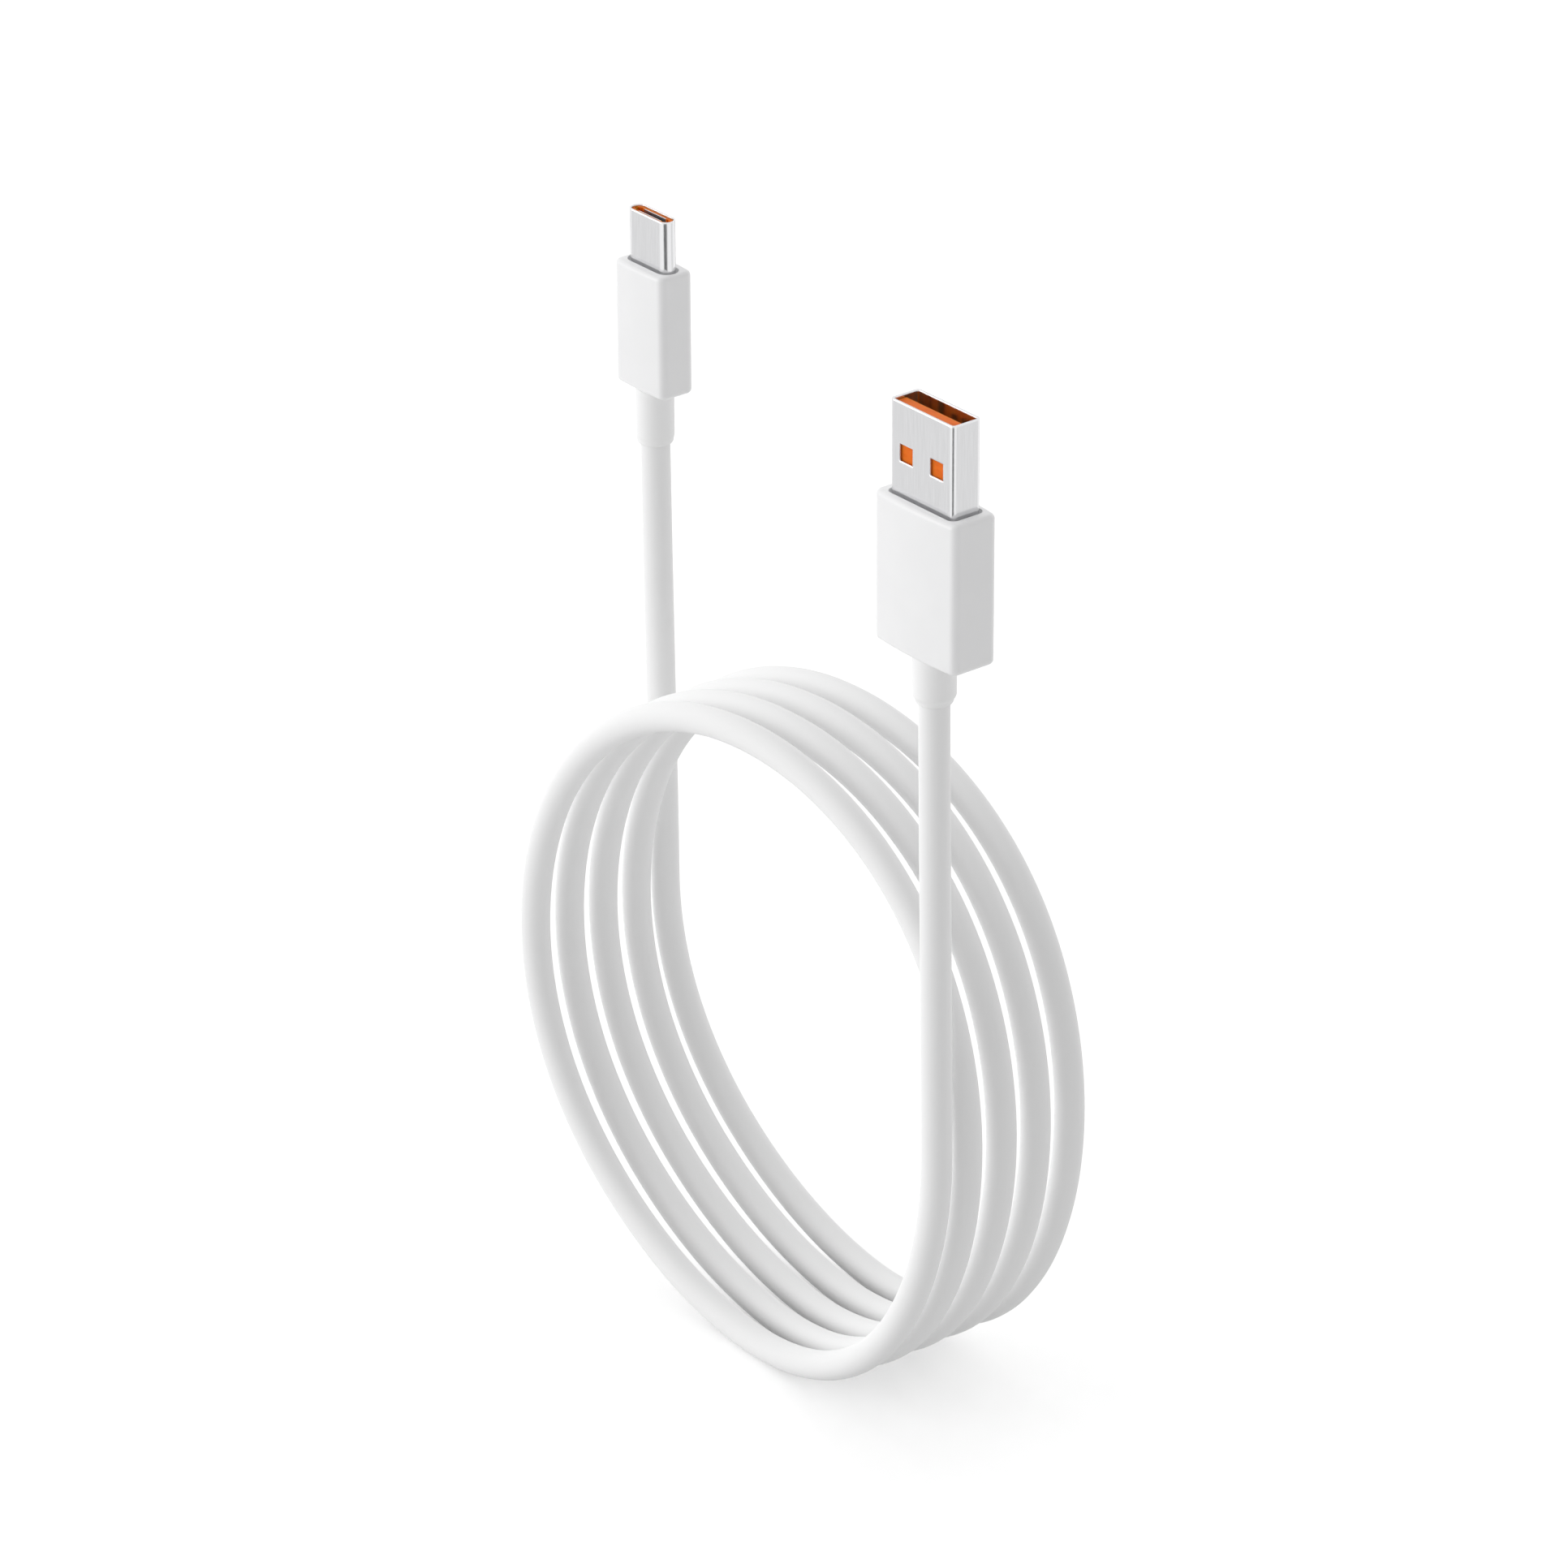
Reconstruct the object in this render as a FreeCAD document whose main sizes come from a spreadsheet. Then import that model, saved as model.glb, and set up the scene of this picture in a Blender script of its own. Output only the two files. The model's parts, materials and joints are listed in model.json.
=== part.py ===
import FreeCAD, Part
import math
import os
import re
import Sketcher
from FreeCAD import Placement, Rotation, Vector

# Charging cable with a flat plug at one end and a small oval plug at the other, its cord
# wound into an upright coil. Millimetres, +Z up.
# Origin: centre of the flat plug's steel shell at its seat, the overmould's open end.
# +X runs along the plugs' broad side, +Y from the near loop of the coil to the far one.

doc = FreeCAD.newDocument("charging_cable")
sheet = doc.addObject("Spreadsheet::Sheet", "Sizes")

SIZES = [
    # Clearances
    ("slip", 0.05, "gap round a piece that is pushed into another"),
    ("ease", 0.1, "gap round a soft piece"),
    # Cord
    ("cord_diameter", 4.0, "outside of the jacket"),
    ("jacket_wall", 0.6, "thickness of the jacket"),
    ("braid_wall", 0.1, "thickness of the braid"),
    ("power_wire_diameter", 1.04, "power and ground wire over the insulation"),
    ("data_wire_diameter", 0.66, "data wire over the insulation"),
    ("power_wire_spread", 0.58, "power wire's distance from the middle of the cord"),
    ("data_wire_spread", 0.78, "data wire's distance from the middle of the cord"),
    ("bare_share", 0.58, "bare end of a wire against its insulation"),
    # Coil
    ("coil_turns", 4.5, "whole and half turns"),
    ("loop_half_width", 44.0, "half the width of a loop at the jacket's middle"),
    ("loop_half_height", 43.8, "half the height of a loop at the jacket's middle"),
    ("loop_pitch", 5.75, "step from a loop to the next"),
    ("loop_ramp", 0.25, "turns over which the step builds up at each end"),
    ("loop_egg", 1.7, "how far a loop is fuller towards one side"),
    ("loop_square", 0.5, "how far a loop is flattened at its top and foot"),
    ("loop_lean", 0.6, "how far a loop leans"),
    ("coil_drop", 91.4, "the coil's near end below the flat plug's seat"),
    ("coil_shift", 0.9, "how far the coil stands to the right of both plugs"),
    ("stretch_end", 8.0, "straight run at each end of the cord's two upright stretches"),
    ("stretch_bend", 6.0, "longest leg of a stretch's bend"),
    # Flat plug
    ("a_shell_width", 12.0, "steel shell, broad side"),
    ("a_shell_thickness", 4.5, "steel shell, thin side"),
    ("a_shell_wall", 0.3, "steel sheet"),
    ("a_shell_corner", 0.6, "outer corner of the shell"),
    ("a_shell_reach", 12.3, "shell past the overmould"),
    ("a_shell_rear", 6.5, "shell inside the overmould"),
    ("a_window_width", 2.5, "spring window across the plug"),
    ("a_window_height", 2.3, "spring window along the plug"),
    ("a_window_spacing", 5.8, "window centre to window centre"),
    ("a_window_setback", 6.6, "window centre to the shell's tip"),
    ("a_tongue_width", 11.1, "contact tongue"),
    ("a_tongue_thickness", 1.84, "contact tongue"),
    ("a_tongue_setback", 0.4, "tongue's end behind the shell's tip"),
    ("a_cavity_depth", 9.0, "open half of the mouth"),
    ("a_back_length", 3.6, "shelf behind the shell, for the soldered ends"),
    ("a_contact_width", 1.0, "contact strip"),
    ("a_contact_thickness", 0.2, "contact strip"),
    ("a_power_contact_place", 3.5, "outer contacts from the middle"),
    ("a_data_contact_place", 1.0, "inner contacts from the middle"),
    ("a_power_contact_setback", 1.2, "outer contacts behind the shell's tip"),
    ("a_data_contact_setback", 2.2, "inner contacts behind the shell's tip"),
    ("a_contact_end", 0.3, "contact's rear end from the shelf's edge"),
    ("a_body_width", 15.7, "overmould, broad side"),
    ("a_body_thickness", 6.7, "overmould, thin side at its edges"),
    ("a_body_bow", 0.5, "how far each broad face bows out"),
    ("a_body_corner", 1.1, "upright corners of the overmould"),
    ("a_body_rim", 0.65, "rounding of the overmould's ends"),
    ("a_body_length", 20.2, "overmould"),
    ("a_body_floor", 1.3, "overmould's closed end"),
    ("a_crimp_gap", 1.35, "crimp ring from the closed end"),
    ("a_recess_depth", 0.8, "sunk band round the shell"),
    ("a_recess_margin", 0.42, "width of the sunk band"),
    ("a_relief_diameter", 5.6, "strain relief"),
    ("a_relief_length", 6.9, "strain relief past the overmould"),
    # Oval plug
    ("c_plug_height", -2.7, "its seat above the flat plug's seat"),
    ("c_shell_width", 8.25, "steel shell, broad side"),
    ("c_shell_thickness", 2.4, "steel shell, thin side"),
    ("c_shell_wall", 0.2, "steel sheet"),
    ("c_shell_reach", 7.2, "shell past the overmould"),
    ("c_shell_rear", 5.0, "shell inside the overmould"),
    ("c_slot_width", 6.9, "mouth for the socket's tongue"),
    ("c_slot_thickness", 0.82, "mouth for the socket's tongue"),
    ("c_slot_depth", 5.4, "mouth for the socket's tongue"),
    ("c_insulator_setback", 0.2, "insulator's end behind the shell's tip"),
    ("c_contact_pitch", 0.5, "one contact place to the next"),
    ("c_contact_width", 0.25, "contact strip"),
    ("c_contact_thickness", 0.14, "contact strip"),
    ("c_contact_setback", 2.6, "contacts behind the shell's tip"),
    ("c_tail_length", 1.4, "contact tail on the board"),
    ("c_latch_thickness", 0.18, "side latch"),
    ("c_latch_width", 0.5, "side latch"),
    ("c_latch_setback", 1.3, "latch behind the shell's tip"),
    ("c_hook_reach", 0.22, "how far a latch's hook stands into the mouth"),
    ("c_hook_length", 0.6, "hook along the plug"),
    ("c_spring_width", 4.6, "ground spring"),
    ("c_spring_length", 2.2, "ground spring"),
    ("c_spring_thickness", 0.12, "ground spring"),
    ("c_board_width", 7.4, "circuit board"),
    ("c_back_length", 5.6, "circuit board"),
    ("c_resistor_width", 1.0, "pull-up resistor"),
    ("c_resistor_length", 0.5, "pull-up resistor"),
    ("c_resistor_height", 0.35, "pull-up resistor"),
    ("c_power_wire_place", 1.9, "power wires on the board, from the middle"),
    ("c_data_wire_place", 1.2, "data wires on the board, from the middle"),
    ("c_body_width", 10.4, "overmould, broad side"),
    ("c_body_thickness", 5.3, "overmould, thin side at its edges"),
    ("c_body_bow", 0.25, "how far each broad face bows out"),
    ("c_body_corner", 1.1, "upright corners of the overmould"),
    ("c_body_rim", 0.6, "rounding of the overmould's ends"),
    ("c_body_length", 17.5, "overmould"),
    ("c_body_floor", 1.3, "overmould's closed end"),
    ("c_crimp_gap", 0.25, "crimp ring from the closed end"),
    ("c_recess_depth", 0.7, "sunk band round the shell"),
    ("c_recess_margin", 0.4, "width of the sunk band"),
    ("c_relief_diameter", 5.2, "strain relief"),
    ("c_relief_length", 8.0, "strain relief past the overmould"),
    # Both plugs
    ("can_wall", 0.25, "rear shield's sheet"),
    ("can_lap", 2.2, "rear shield's lap over the plug's shell"),
    ("can_lip", 0.2, "rear shield's front lip"),
    ("can_corner", 0.6, "outer corner of the rear shield"),
    ("crimp_wall", 0.3, "crimp ring's sheet"),
    ("crimp_length", 2.6, "crimp ring"),
    ("mould_wall", 0.5, "inner mould over the crimp ring"),
    ("wire_straight", 0.55, "straight run of the wires inside the rear shield"),
    ("wire_landing", 0.5, "wires run straight from here to the shelf or board"),
    ("wire_bend", 1.0, "longest leg of a wire's bend"),
    ("insulation_lap", 0.4, "insulation over the shelf or board"),
    ("bare_length", 1.6, "bare end of a wire"),
    ("solder_half_width", 0.48, "solder joint"),
    ("solder_half_length", 0.7, "solder joint"),
    ("solder_cover", 0.12, "solder over the bare end"),
    ("relief_taper", 1.2, "tapered end of a strain relief"),
    ("relief_step", 0.3, "step from a strain relief to its neck"),
    ("relief_lip", 0.25, "strain relief's wall at its mouth"),
]
NAMES = {alias for alias, value, words in SIZES}


def fill_sheet():
    for row, (alias, value, words) in enumerate(SIZES, start=1):
        sheet.set("A%d" % row, words)
        sheet.set("B%d" % row, str(value))
        sheet.setAlias("B%d" % row, alias)
    doc.recompute()


def size(alias):
    return float(getattr(sheet, alias))


def bound(words):
    """An expression on the sheet's cells, from the plain names of the sizes in it."""
    def with_sheet(found):
        word = found.group(0)
        return "Sizes." + word if word in NAMES else word
    return re.sub(r"[a-z][a-z0-9_]*", with_sheet, words)


def bind(thing, prop, words):
    thing.setExpression(prop, bound(words))


def place(thing, x="0", y="0", z="0"):
    bind(thing, "Placement.Base.x", x)
    bind(thing, "Placement.Base.y", y)
    bind(thing, "Placement.Base.z", z)


# Pieces made of sketches, pads and pockets

def new_body(label):
    body = doc.addObject("PartDesign::Body", label)
    body.Label = label
    return body


def new_sketch(body, role, offset="0"):
    sketch = body.newObject("Sketcher::SketchObject", body.Name + "_sketch")
    plane = [feature for feature in body.Origin.OriginFeatures if feature.Role == role][0]
    sketch.AttachmentSupport = [(plane, "")]
    sketch.MapMode = "FlatFace"
    bind(sketch, "AttachmentOffset.Base.z", offset)
    return sketch


def constrain(sketch, kind, *where, words=None, drawn=1.0):
    """Adds one constraint. With words its value is bound, drawn is the value as first drawn."""
    if words is None:
        sketch.addConstraint(Sketcher.Constraint(kind, *where))
        return
    number = sketch.addConstraint(Sketcher.Constraint(kind, *where, drawn))
    name = "value%d" % number
    sketch.renameConstraint(number, name)
    bind(sketch, "Constraints." + name, words)


def draw_box_outline(sketch, width, thickness, radius):
    """Rectangle with four round corners, about the sketch's origin."""
    half_x, half_y, corner = 4.0, 2.0, 0.5
    lines = []
    arcs = []
    ends = [((-half_x + corner, -half_y), (half_x - corner, -half_y)),
            ((half_x, -half_y + corner), (half_x, half_y - corner)),
            ((half_x - corner, half_y), (-half_x + corner, half_y)),
            ((-half_x, half_y - corner), (-half_x, -half_y + corner))]
    for (x0, y0), (x1, y1) in ends:
        lines.append(sketch.addGeometry(Part.LineSegment(Vector(x0, y0, 0), Vector(x1, y1, 0))))
    centres = [(1, -1), (1, 1), (-1, 1), (-1, -1)]
    for number, (sx, sy) in enumerate(centres):
        centre = Vector(sx * (half_x - corner), sy * (half_y - corner), 0)
        circle = Part.Circle(centre, Vector(0, 0, 1), corner)
        first = math.radians(-90 + 90 * number)
        arcs.append(sketch.addGeometry(Part.ArcOfCircle(circle, first, first + math.pi / 2)))
    for number in range(4):
        constrain(sketch, "Tangent", lines[number], 2, arcs[number], 1)
        constrain(sketch, "Tangent", arcs[number], 2, lines[(number + 1) % 4], 1)
    for number in (0, 2):
        constrain(sketch, "Horizontal", lines[number])
        constrain(sketch, "Vertical", lines[number + 1])
    for number in (1, 2, 3):
        constrain(sketch, "Equal", arcs[0], arcs[number])
    constrain(sketch, "Symmetric", arcs[0], 3, arcs[2], 3, -1, 1)
    constrain(sketch, "DistanceY", lines[0], 1, lines[2], 2, words=thickness, drawn=2 * half_y)
    constrain(sketch, "DistanceX", lines[3], 1, lines[1], 2, words=width, drawn=2 * half_x)
    constrain(sketch, "Radius", arcs[0], words=radius, drawn=corner)


def draw_oval_outline(sketch, width, thickness):
    """Two straight sides joined by half circles, about the sketch's origin."""
    half_x, half_y = 3.0, 1.2
    low = sketch.addGeometry(Part.LineSegment(Vector(-half_x, -half_y, 0), Vector(half_x, -half_y, 0)))
    right = Part.Circle(Vector(half_x, 0, 0), Vector(0, 0, 1), half_y)
    right = sketch.addGeometry(Part.ArcOfCircle(right, -math.pi / 2, math.pi / 2))
    top = sketch.addGeometry(Part.LineSegment(Vector(half_x, half_y, 0), Vector(-half_x, half_y, 0)))
    left = Part.Circle(Vector(-half_x, 0, 0), Vector(0, 0, 1), half_y)
    left = sketch.addGeometry(Part.ArcOfCircle(left, math.pi / 2, 3 * math.pi / 2))
    for first, second in ((low, right), (right, top), (top, left), (left, low)):
        constrain(sketch, "Tangent", first, 2, second, 1)
    constrain(sketch, "Horizontal", low)
    constrain(sketch, "Equal", left, right)
    constrain(sketch, "Symmetric", left, 3, right, 3, -1, 1)
    constrain(sketch, "Radius", right, words="(%s) / 2" % thickness, drawn=half_y)
    constrain(sketch, "DistanceX", left, 3, right, 3, words="%s - (%s)" % (width, thickness),
              drawn=2 * half_x)


def draw_circle(sketch, diameter):
    circle = sketch.addGeometry(Part.Circle(Vector(0.1, 0.1, 0), Vector(0, 0, 1), 1.0))
    constrain(sketch, "Coincident", circle, 3, -1, 1)
    constrain(sketch, "Diameter", circle, words=diameter, drawn=2.0)


def draw_rectangle(sketch, left, bottom, width, thickness):
    """Plain rectangle from its lower left corner."""
    corners = [Vector(0, 0, 0), Vector(1, 0, 0), Vector(1, 1, 0), Vector(0, 1, 0)]
    sides = []
    for number in range(4):
        segment = Part.LineSegment(corners[number], corners[(number + 1) % 4])
        sides.append(sketch.addGeometry(segment))
    for number in range(4):
        constrain(sketch, "Coincident", sides[number], 2, sides[(number + 1) % 4], 1)
    for number in (0, 2):
        constrain(sketch, "Horizontal", sides[number])
        constrain(sketch, "Vertical", sides[number + 1])
    constrain(sketch, "DistanceX", sides[0], 1, sides[0], 2, words=width)
    constrain(sketch, "DistanceY", sides[1], 1, sides[1], 2, words=thickness)
    constrain(sketch, "DistanceX", sides[0], 1, words=left, drawn=0.0)
    constrain(sketch, "DistanceY", sides[0], 1, words=bottom, drawn=0.0)


def draw_bowed_outline(sketch, width, thickness, bow):
    """Straight short sides, and long sides that bow out by an arc."""
    half_x, half_y = 6.0, 2.5
    rise = 0.5
    radius = (half_x ** 2 + rise ** 2) / (2 * rise)
    sweep = math.asin(half_x / radius)
    sides = []
    reach = radius - half_y - rise
    for turn, middle in ((-math.pi / 2, reach), (math.pi / 2, -reach)):
        circle = Part.Circle(Vector(0, middle, 0), Vector(0, 0, 1), radius)
        sides.append(sketch.addGeometry(Part.ArcOfCircle(circle, turn - sweep, turn + sweep)))
    front, back = sides
    right = Part.LineSegment(Vector(half_x, -half_y, 0), Vector(half_x, half_y, 0))
    right = sketch.addGeometry(right)
    left = Part.LineSegment(Vector(-half_x, half_y, 0), Vector(-half_x, -half_y, 0))
    left = sketch.addGeometry(left)
    for first, second in ((front, right), (right, back), (back, left), (left, front)):
        constrain(sketch, "Coincident", first, 2, second, 1)
    constrain(sketch, "Symmetric", front, 1, front, 2, -2)
    constrain(sketch, "Symmetric", right, 1, right, 2, -1)
    constrain(sketch, "Symmetric", left, 1, left, 2, -1)
    constrain(sketch, "Equal", front, back)
    constrain(sketch, "DistanceX", front, 1, front, 2, words=width, drawn=2 * half_x)
    constrain(sketch, "DistanceY", right, 1, right, 2, words=thickness, drawn=2 * half_y)
    constrain(sketch, "Radius", front, words="((%s / 2) ^ 2 + %s ^ 2) / (2 * %s)" % (width, bow, bow),
              drawn=radius)


def pad(body, sketch, length):
    feature = body.newObject("PartDesign::Pad", body.Name + "_pad")
    feature.Profile = sketch
    bind(feature, "Length", length)
    doc.recompute()
    return feature


def pocket(body, sketch, length, both_ways=False):
    """Cuts upwards from the sketch, or to both sides of it."""
    feature = body.newObject("PartDesign::Pocket", body.Name + "_pocket")
    feature.Profile = sketch
    bind(feature, "Length", length)
    if both_ways:
        feature.Midplane = True
    else:
        feature.Reversed = True
    doc.recompute()
    return feature


def fillet(body, base, radius, chosen):
    """Rounds the base's edges for which chosen(edge) is true."""
    doc.recompute()
    names = ["Edge%d" % number for number, edge in enumerate(base.Shape.Edges, start=1) if chosen(edge)]
    feature = body.newObject("PartDesign::Fillet", body.Name + "_fillet")
    feature.Base = (base, names)
    bind(feature, "Radius", radius)
    return feature


def is_upright(edge):
    low, high = edge.Vertexes[0].Point, edge.Vertexes[-1].Point
    return abs(low.x - high.x) < 1e-6 and abs(low.y - high.y) < 1e-6 and abs(low.z - high.z) > 1e-6


def lies_at(edge, height):
    box = edge.BoundBox
    return abs(box.ZMin - height) < 1e-6 and abs(box.ZMax - height) < 1e-6


def block(label, width, thickness, height, x, y, z, spot=None):
    """Box centred on x and standing on z, with its low side at y."""
    box = doc.addObject("Part::Box", label)
    box.Label = label
    bind(box, "Length", width)
    bind(box, "Width", thickness)
    bind(box, "Height", height)
    base = spot or ("0", "0", "0")
    place(box, "%s + %s - (%s) / 2" % (base[0], x, width), "%s + %s" % (base[1], y), "%s + %s" % (base[2], z))
    return box


def group(label, pieces):
    """One node of several separate solids."""
    together = doc.addObject("Part::Compound", label)
    together.Label = label
    together.Links = pieces
    return together


def feature_of(label, shape):
    """A piece whose shape is worked out from the sheet's sizes in code."""
    piece = doc.addObject("Part::Feature", label)
    piece.Label = label
    piece.Shape = shape
    piece.Placement = Placement()
    return piece


# Routes of round tubes

def arc_through(start, corner, end):
    """Arc from start to end, tangent to the two equal legs that meet at corner."""
    middle = (start + end) / 2
    rise = corner - middle
    half_chord = (end - start).Length / 2
    if rise.Length < 1e-7:
        return Part.LineSegment(start, end).toShape()
    half_turn = math.atan2(rise.Length, half_chord)
    crown = middle + rise / rise.Length * half_chord * math.tan(half_turn / 2)
    return Part.Arc(start, crown, end).toShape()


def biarc(start, start_way, end, end_way):
    """Two arcs that share a tangent where they meet."""
    gap = end - start
    ways = start_way + end_way
    bend = 2 * (1 - start_way.dot(end_way))
    along = gap.dot(ways)
    leg = (math.sqrt(along ** 2 + bend * gap.dot(gap)) - along) / bend
    near = start + start_way * leg
    far = end - end_way * leg
    meet = (near + far) / 2
    return [arc_through(start, near, meet), arc_through(meet, far, end)]


def rounded_route(points, longest_leg):
    """Straight runs joined by tangent arcs, whose legs are no longer than longest_leg."""
    edges = []
    radii = []
    here = points[0]
    for before, corner, after in zip(points, points[1:], points[2:]):
        run_in = corner - before
        run_out = after - corner
        half_turn = run_in.getAngle(run_out) / 2
        leg = min(0.45 * min(run_in.Length, run_out.Length), longest_leg)
        radii.append(leg / math.tan(half_turn))
        start = corner - run_in / run_in.Length * leg
        end = corner + run_out / run_out.Length * leg
        edges.append(Part.LineSegment(here, start).toShape())
        edges.append(arc_through(start, corner, end))
        here = end
    edges.append(Part.LineSegment(here, points[-1]).toShape())
    return edges, radii


def tube(edges, radius, offset=Vector(0, 0, 0)):
    """Solid round tube along the edges, with its middle off the route by offset."""
    route = Part.Wire(edges)
    start = edges[0].Vertexes[0].Point
    way = edges[0].tangentAt(edges[0].FirstParameter)
    ring = Part.Circle(start + offset, way, radius).toShape()
    shape = route.makePipeShell([Part.Wire([ring])], True, False)
    if shape.ShapeType != "Solid":
        shape = Part.Solid(shape.Shells[0])
    if shape.Volume < 0:
        shape.reverse()
    return shape


def report_tube(name, shape, edges, area, radii):
    length = sum(edge.Length for edge in edges)
    words = ", ".join("%.1f" % radius for radius in radii) or "straight"
    print("%s: length %.1f mm, volume %.1f of %.1f mm3, radii %s"
          % (name, length, shape.Volume, area * length, words))


fill_sheet()

# Places that both plugs and the cord share

C_SPOT = ("-2 * loop_half_width", "loop_pitch * (coil_turns - loop_ramp)", "c_plug_height")
A_SPOT = ("0", "0", "0")

WIRES = {
    "power": (Vector(-1, 0, 0), "power"),
    "ground": (Vector(1, 0, 0), "power"),
    "data_minus": (Vector(0, -1, 0), "data"),
    "data_plus": (Vector(0, 1, 0), "data"),
}


def wire_offset(name):
    way, kind = WIRES[name]
    return way * size(kind + "_wire_spread")


def wire_radius(name):
    return size(WIRES[name][1] + "_wire_diameter") / 2


# Coil

def loop_point(angle):
    """Middle of the cord, angle radians round the coil from its near end."""
    end = 2 * math.pi * size("coil_turns")
    ramp = 2 * math.pi * size("loop_ramp")
    if angle < ramp:
        steps = angle ** 2 / (2 * ramp)
    elif angle > end - ramp:
        steps = end - ramp - (end - angle) ** 2 / (2 * ramp)
    else:
        steps = angle - ramp / 2
    half_width = size("loop_half_width")
    lean = size("loop_lean")
    x = size("coil_shift") + half_width * (math.cos(angle) - 1)
    y = size("loop_pitch") * steps / (2 * math.pi)
    fall = (size("loop_half_height") * math.sin(angle) + size("loop_egg") * math.sin(2 * angle)
            + size("loop_square") * math.sin(3 * angle) + lean * (1 - math.cos(3 * angle)))
    return Vector(x, y, -size("coil_drop") - fall)


def loop_way(angle):
    """Direction of the cord there, from two points close by."""
    small = 1e-4
    end = 2 * math.pi * size("coil_turns")
    before = max(angle - small, 0)
    after = min(angle + small, end)
    way = loop_point(after) - loop_point(before)
    return way / way.Length


def coil_route():
    """Straight lead-in, a biarc for each quarter turn, straight lead-out."""
    lead = size("cord_diameter")
    up = Vector(0, 0, 1)
    quarters = round(4 * size("coil_turns"))
    angles = [math.pi / 2 * number for number in range(quarters + 1)]
    points = [loop_point(angle) for angle in angles]
    ways = [loop_way(angle) for angle in angles]
    ways[0] = -up
    ways[-1] = up
    edges = [Part.LineSegment(points[0] + up * lead, points[0]).toShape()]
    for number in range(quarters):
        edges += biarc(points[number], ways[number], points[number + 1], ways[number + 1])
    edges.append(Part.LineSegment(points[-1], points[-1] + up * lead).toShape())
    return edges


def least_gap(edges, diameter):
    """Smallest gap between the tube and itself, on points along its middle."""
    spots = []
    travelled = 0.0
    for edge in edges:
        for number in range(12):
            share = number / 12
            where = edge.FirstParameter + share * (edge.LastParameter - edge.FirstParameter)
            spots.append((travelled + share * edge.Length, edge.valueAt(where)))
        travelled += edge.Length
    least = None
    for number, (along, spot) in enumerate(spots):
        for other_along, other in spots[number + 1:]:
            if other_along - along > 5 * diameter:
                gap = (other - spot).Length - diameter
                least = gap if least is None else min(least, gap)
    return least


def cord_body_pieces():
    """Jacket, braid and wires from the middle of one strain relief to the middle of the other."""
    run = Vector(0, 0, size("stretch_end"))
    bend = size("stretch_bend")
    coil = coil_route()
    start = coil[0].Vertexes[0].Point
    end = coil[-1].Vertexes[-1].Point
    a_end = Vector(0, 0, -size("a_body_length") - size("a_relief_length") / 2)
    c_height = size("c_plug_height") - size("c_body_length") - size("c_relief_length") / 2
    c_end = Vector(-2 * size("loop_half_width"), end.y, c_height)
    to_a, a_radii = rounded_route([a_end, a_end - run, start + run, start], bend)
    to_c, c_radii = rounded_route([end, end + run, c_end - run, c_end], bend)
    radius = size("cord_diameter") / 2
    bore = radius - size("jacket_wall")
    area = math.pi * (radius ** 2 - bore ** 2)
    stretches = {
        "cord_jacket_to_usb_a": to_a,
        "cord_jacket_coil": coil,
        "cord_jacket_to_usb_c": to_c,
    }
    for label, edges in stretches.items():
        jacket = tube(edges, radius).cut(tube(edges, bore)).Solids[0]
        feature_of(label, jacket)
        radii = [edge.Curve.Radius for edge in edges if hasattr(edge.Curve, "Radius")]
        report_tube(label, jacket, edges, area, radii)
    print("coil: least gap to itself %.2f mm" % least_gap(coil, 2 * radius))
    print("cord between the strain reliefs: %.1f mm, of it coiled %.1f mm"
          % (sum(edge.Length for edge in to_a + coil + to_c), sum(edge.Length for edge in coil)))
    whole = to_a + coil + to_c
    outer = bore - size("slip")
    braid = tube(whole, outer).cut(tube(whole, outer - size("braid_wall")))
    feature_of("cord_shield_braid", braid.Solids[0])
    ends_at_c = {}
    for name in WIRES:
        wire = tube(whole, wire_radius(name), wire_offset(name))
        feature_of("cord_wire_" + name, wire)
        caps = [face for face in wire.Faces if abs(face.CenterOfMass.z - c_height) < 1e-4]
        ends_at_c[name] = caps[0].CenterOfMass - c_end
    return ends_at_c


# Pieces that both plugs have. Heights are measured from the plug's own seat.

BRAID_OUTSIDE = "(cord_diameter - 2 * jacket_wall - 2 * slip)"
CRIMP_INSIDE = "(cord_diameter - 2 * jacket_wall)"
CRIMP_OUTSIDE = "(cord_diameter - 2 * jacket_wall + 2 * crimp_wall)"
CAN_WIDTH = {
    "a": "(a_shell_width + 2 * (can_lip + can_wall))",
    "c": "(c_shell_width + 2 * (can_lip + can_wall))",
}
CAN_THICKNESS = {
    "a": "(a_shell_thickness + 2 * (can_lip + can_wall))",
    "c": "(c_slot_thickness + 2 * (power_wire_diameter + ease + can_wall))",
}
MOULD_THICKNESS = {
    "a": CAN_THICKNESS["a"],
    "c": "(%s + 2 * mould_wall)" % CRIMP_OUTSIDE,
}


def can_front(p):
    return f"(can_lap - {p}_shell_rear)"


def floor_top(p):
    return f"({p}_body_floor - {p}_body_length)"


def can_rear(p):
    return f"({floor_top(p)} + {p}_crimp_gap + crimp_length)"


def pivot(p):
    return f"(-{p}_body_length - {p}_relief_length / 2)"


def draw_shell_outline(sketch, p, grow):
    """The plug's own shell, larger all round by grow."""
    width = f"{p}_shell_width + 2 * ({grow})"
    thickness = f"{p}_shell_thickness + 2 * ({grow})"
    if p == "a":
        draw_box_outline(sketch, width, thickness, f"a_shell_corner + ({grow})")
    else:
        draw_oval_outline(sketch, width, thickness)


def draw_can_outline(sketch, p, grow, thickness=None):
    draw_box_outline(sketch, f"{CAN_WIDTH[p]} + 2 * ({grow})",
                     f"{thickness or CAN_THICKNESS[p]} + 2 * ({grow})", f"can_corner + ({grow})")


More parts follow.
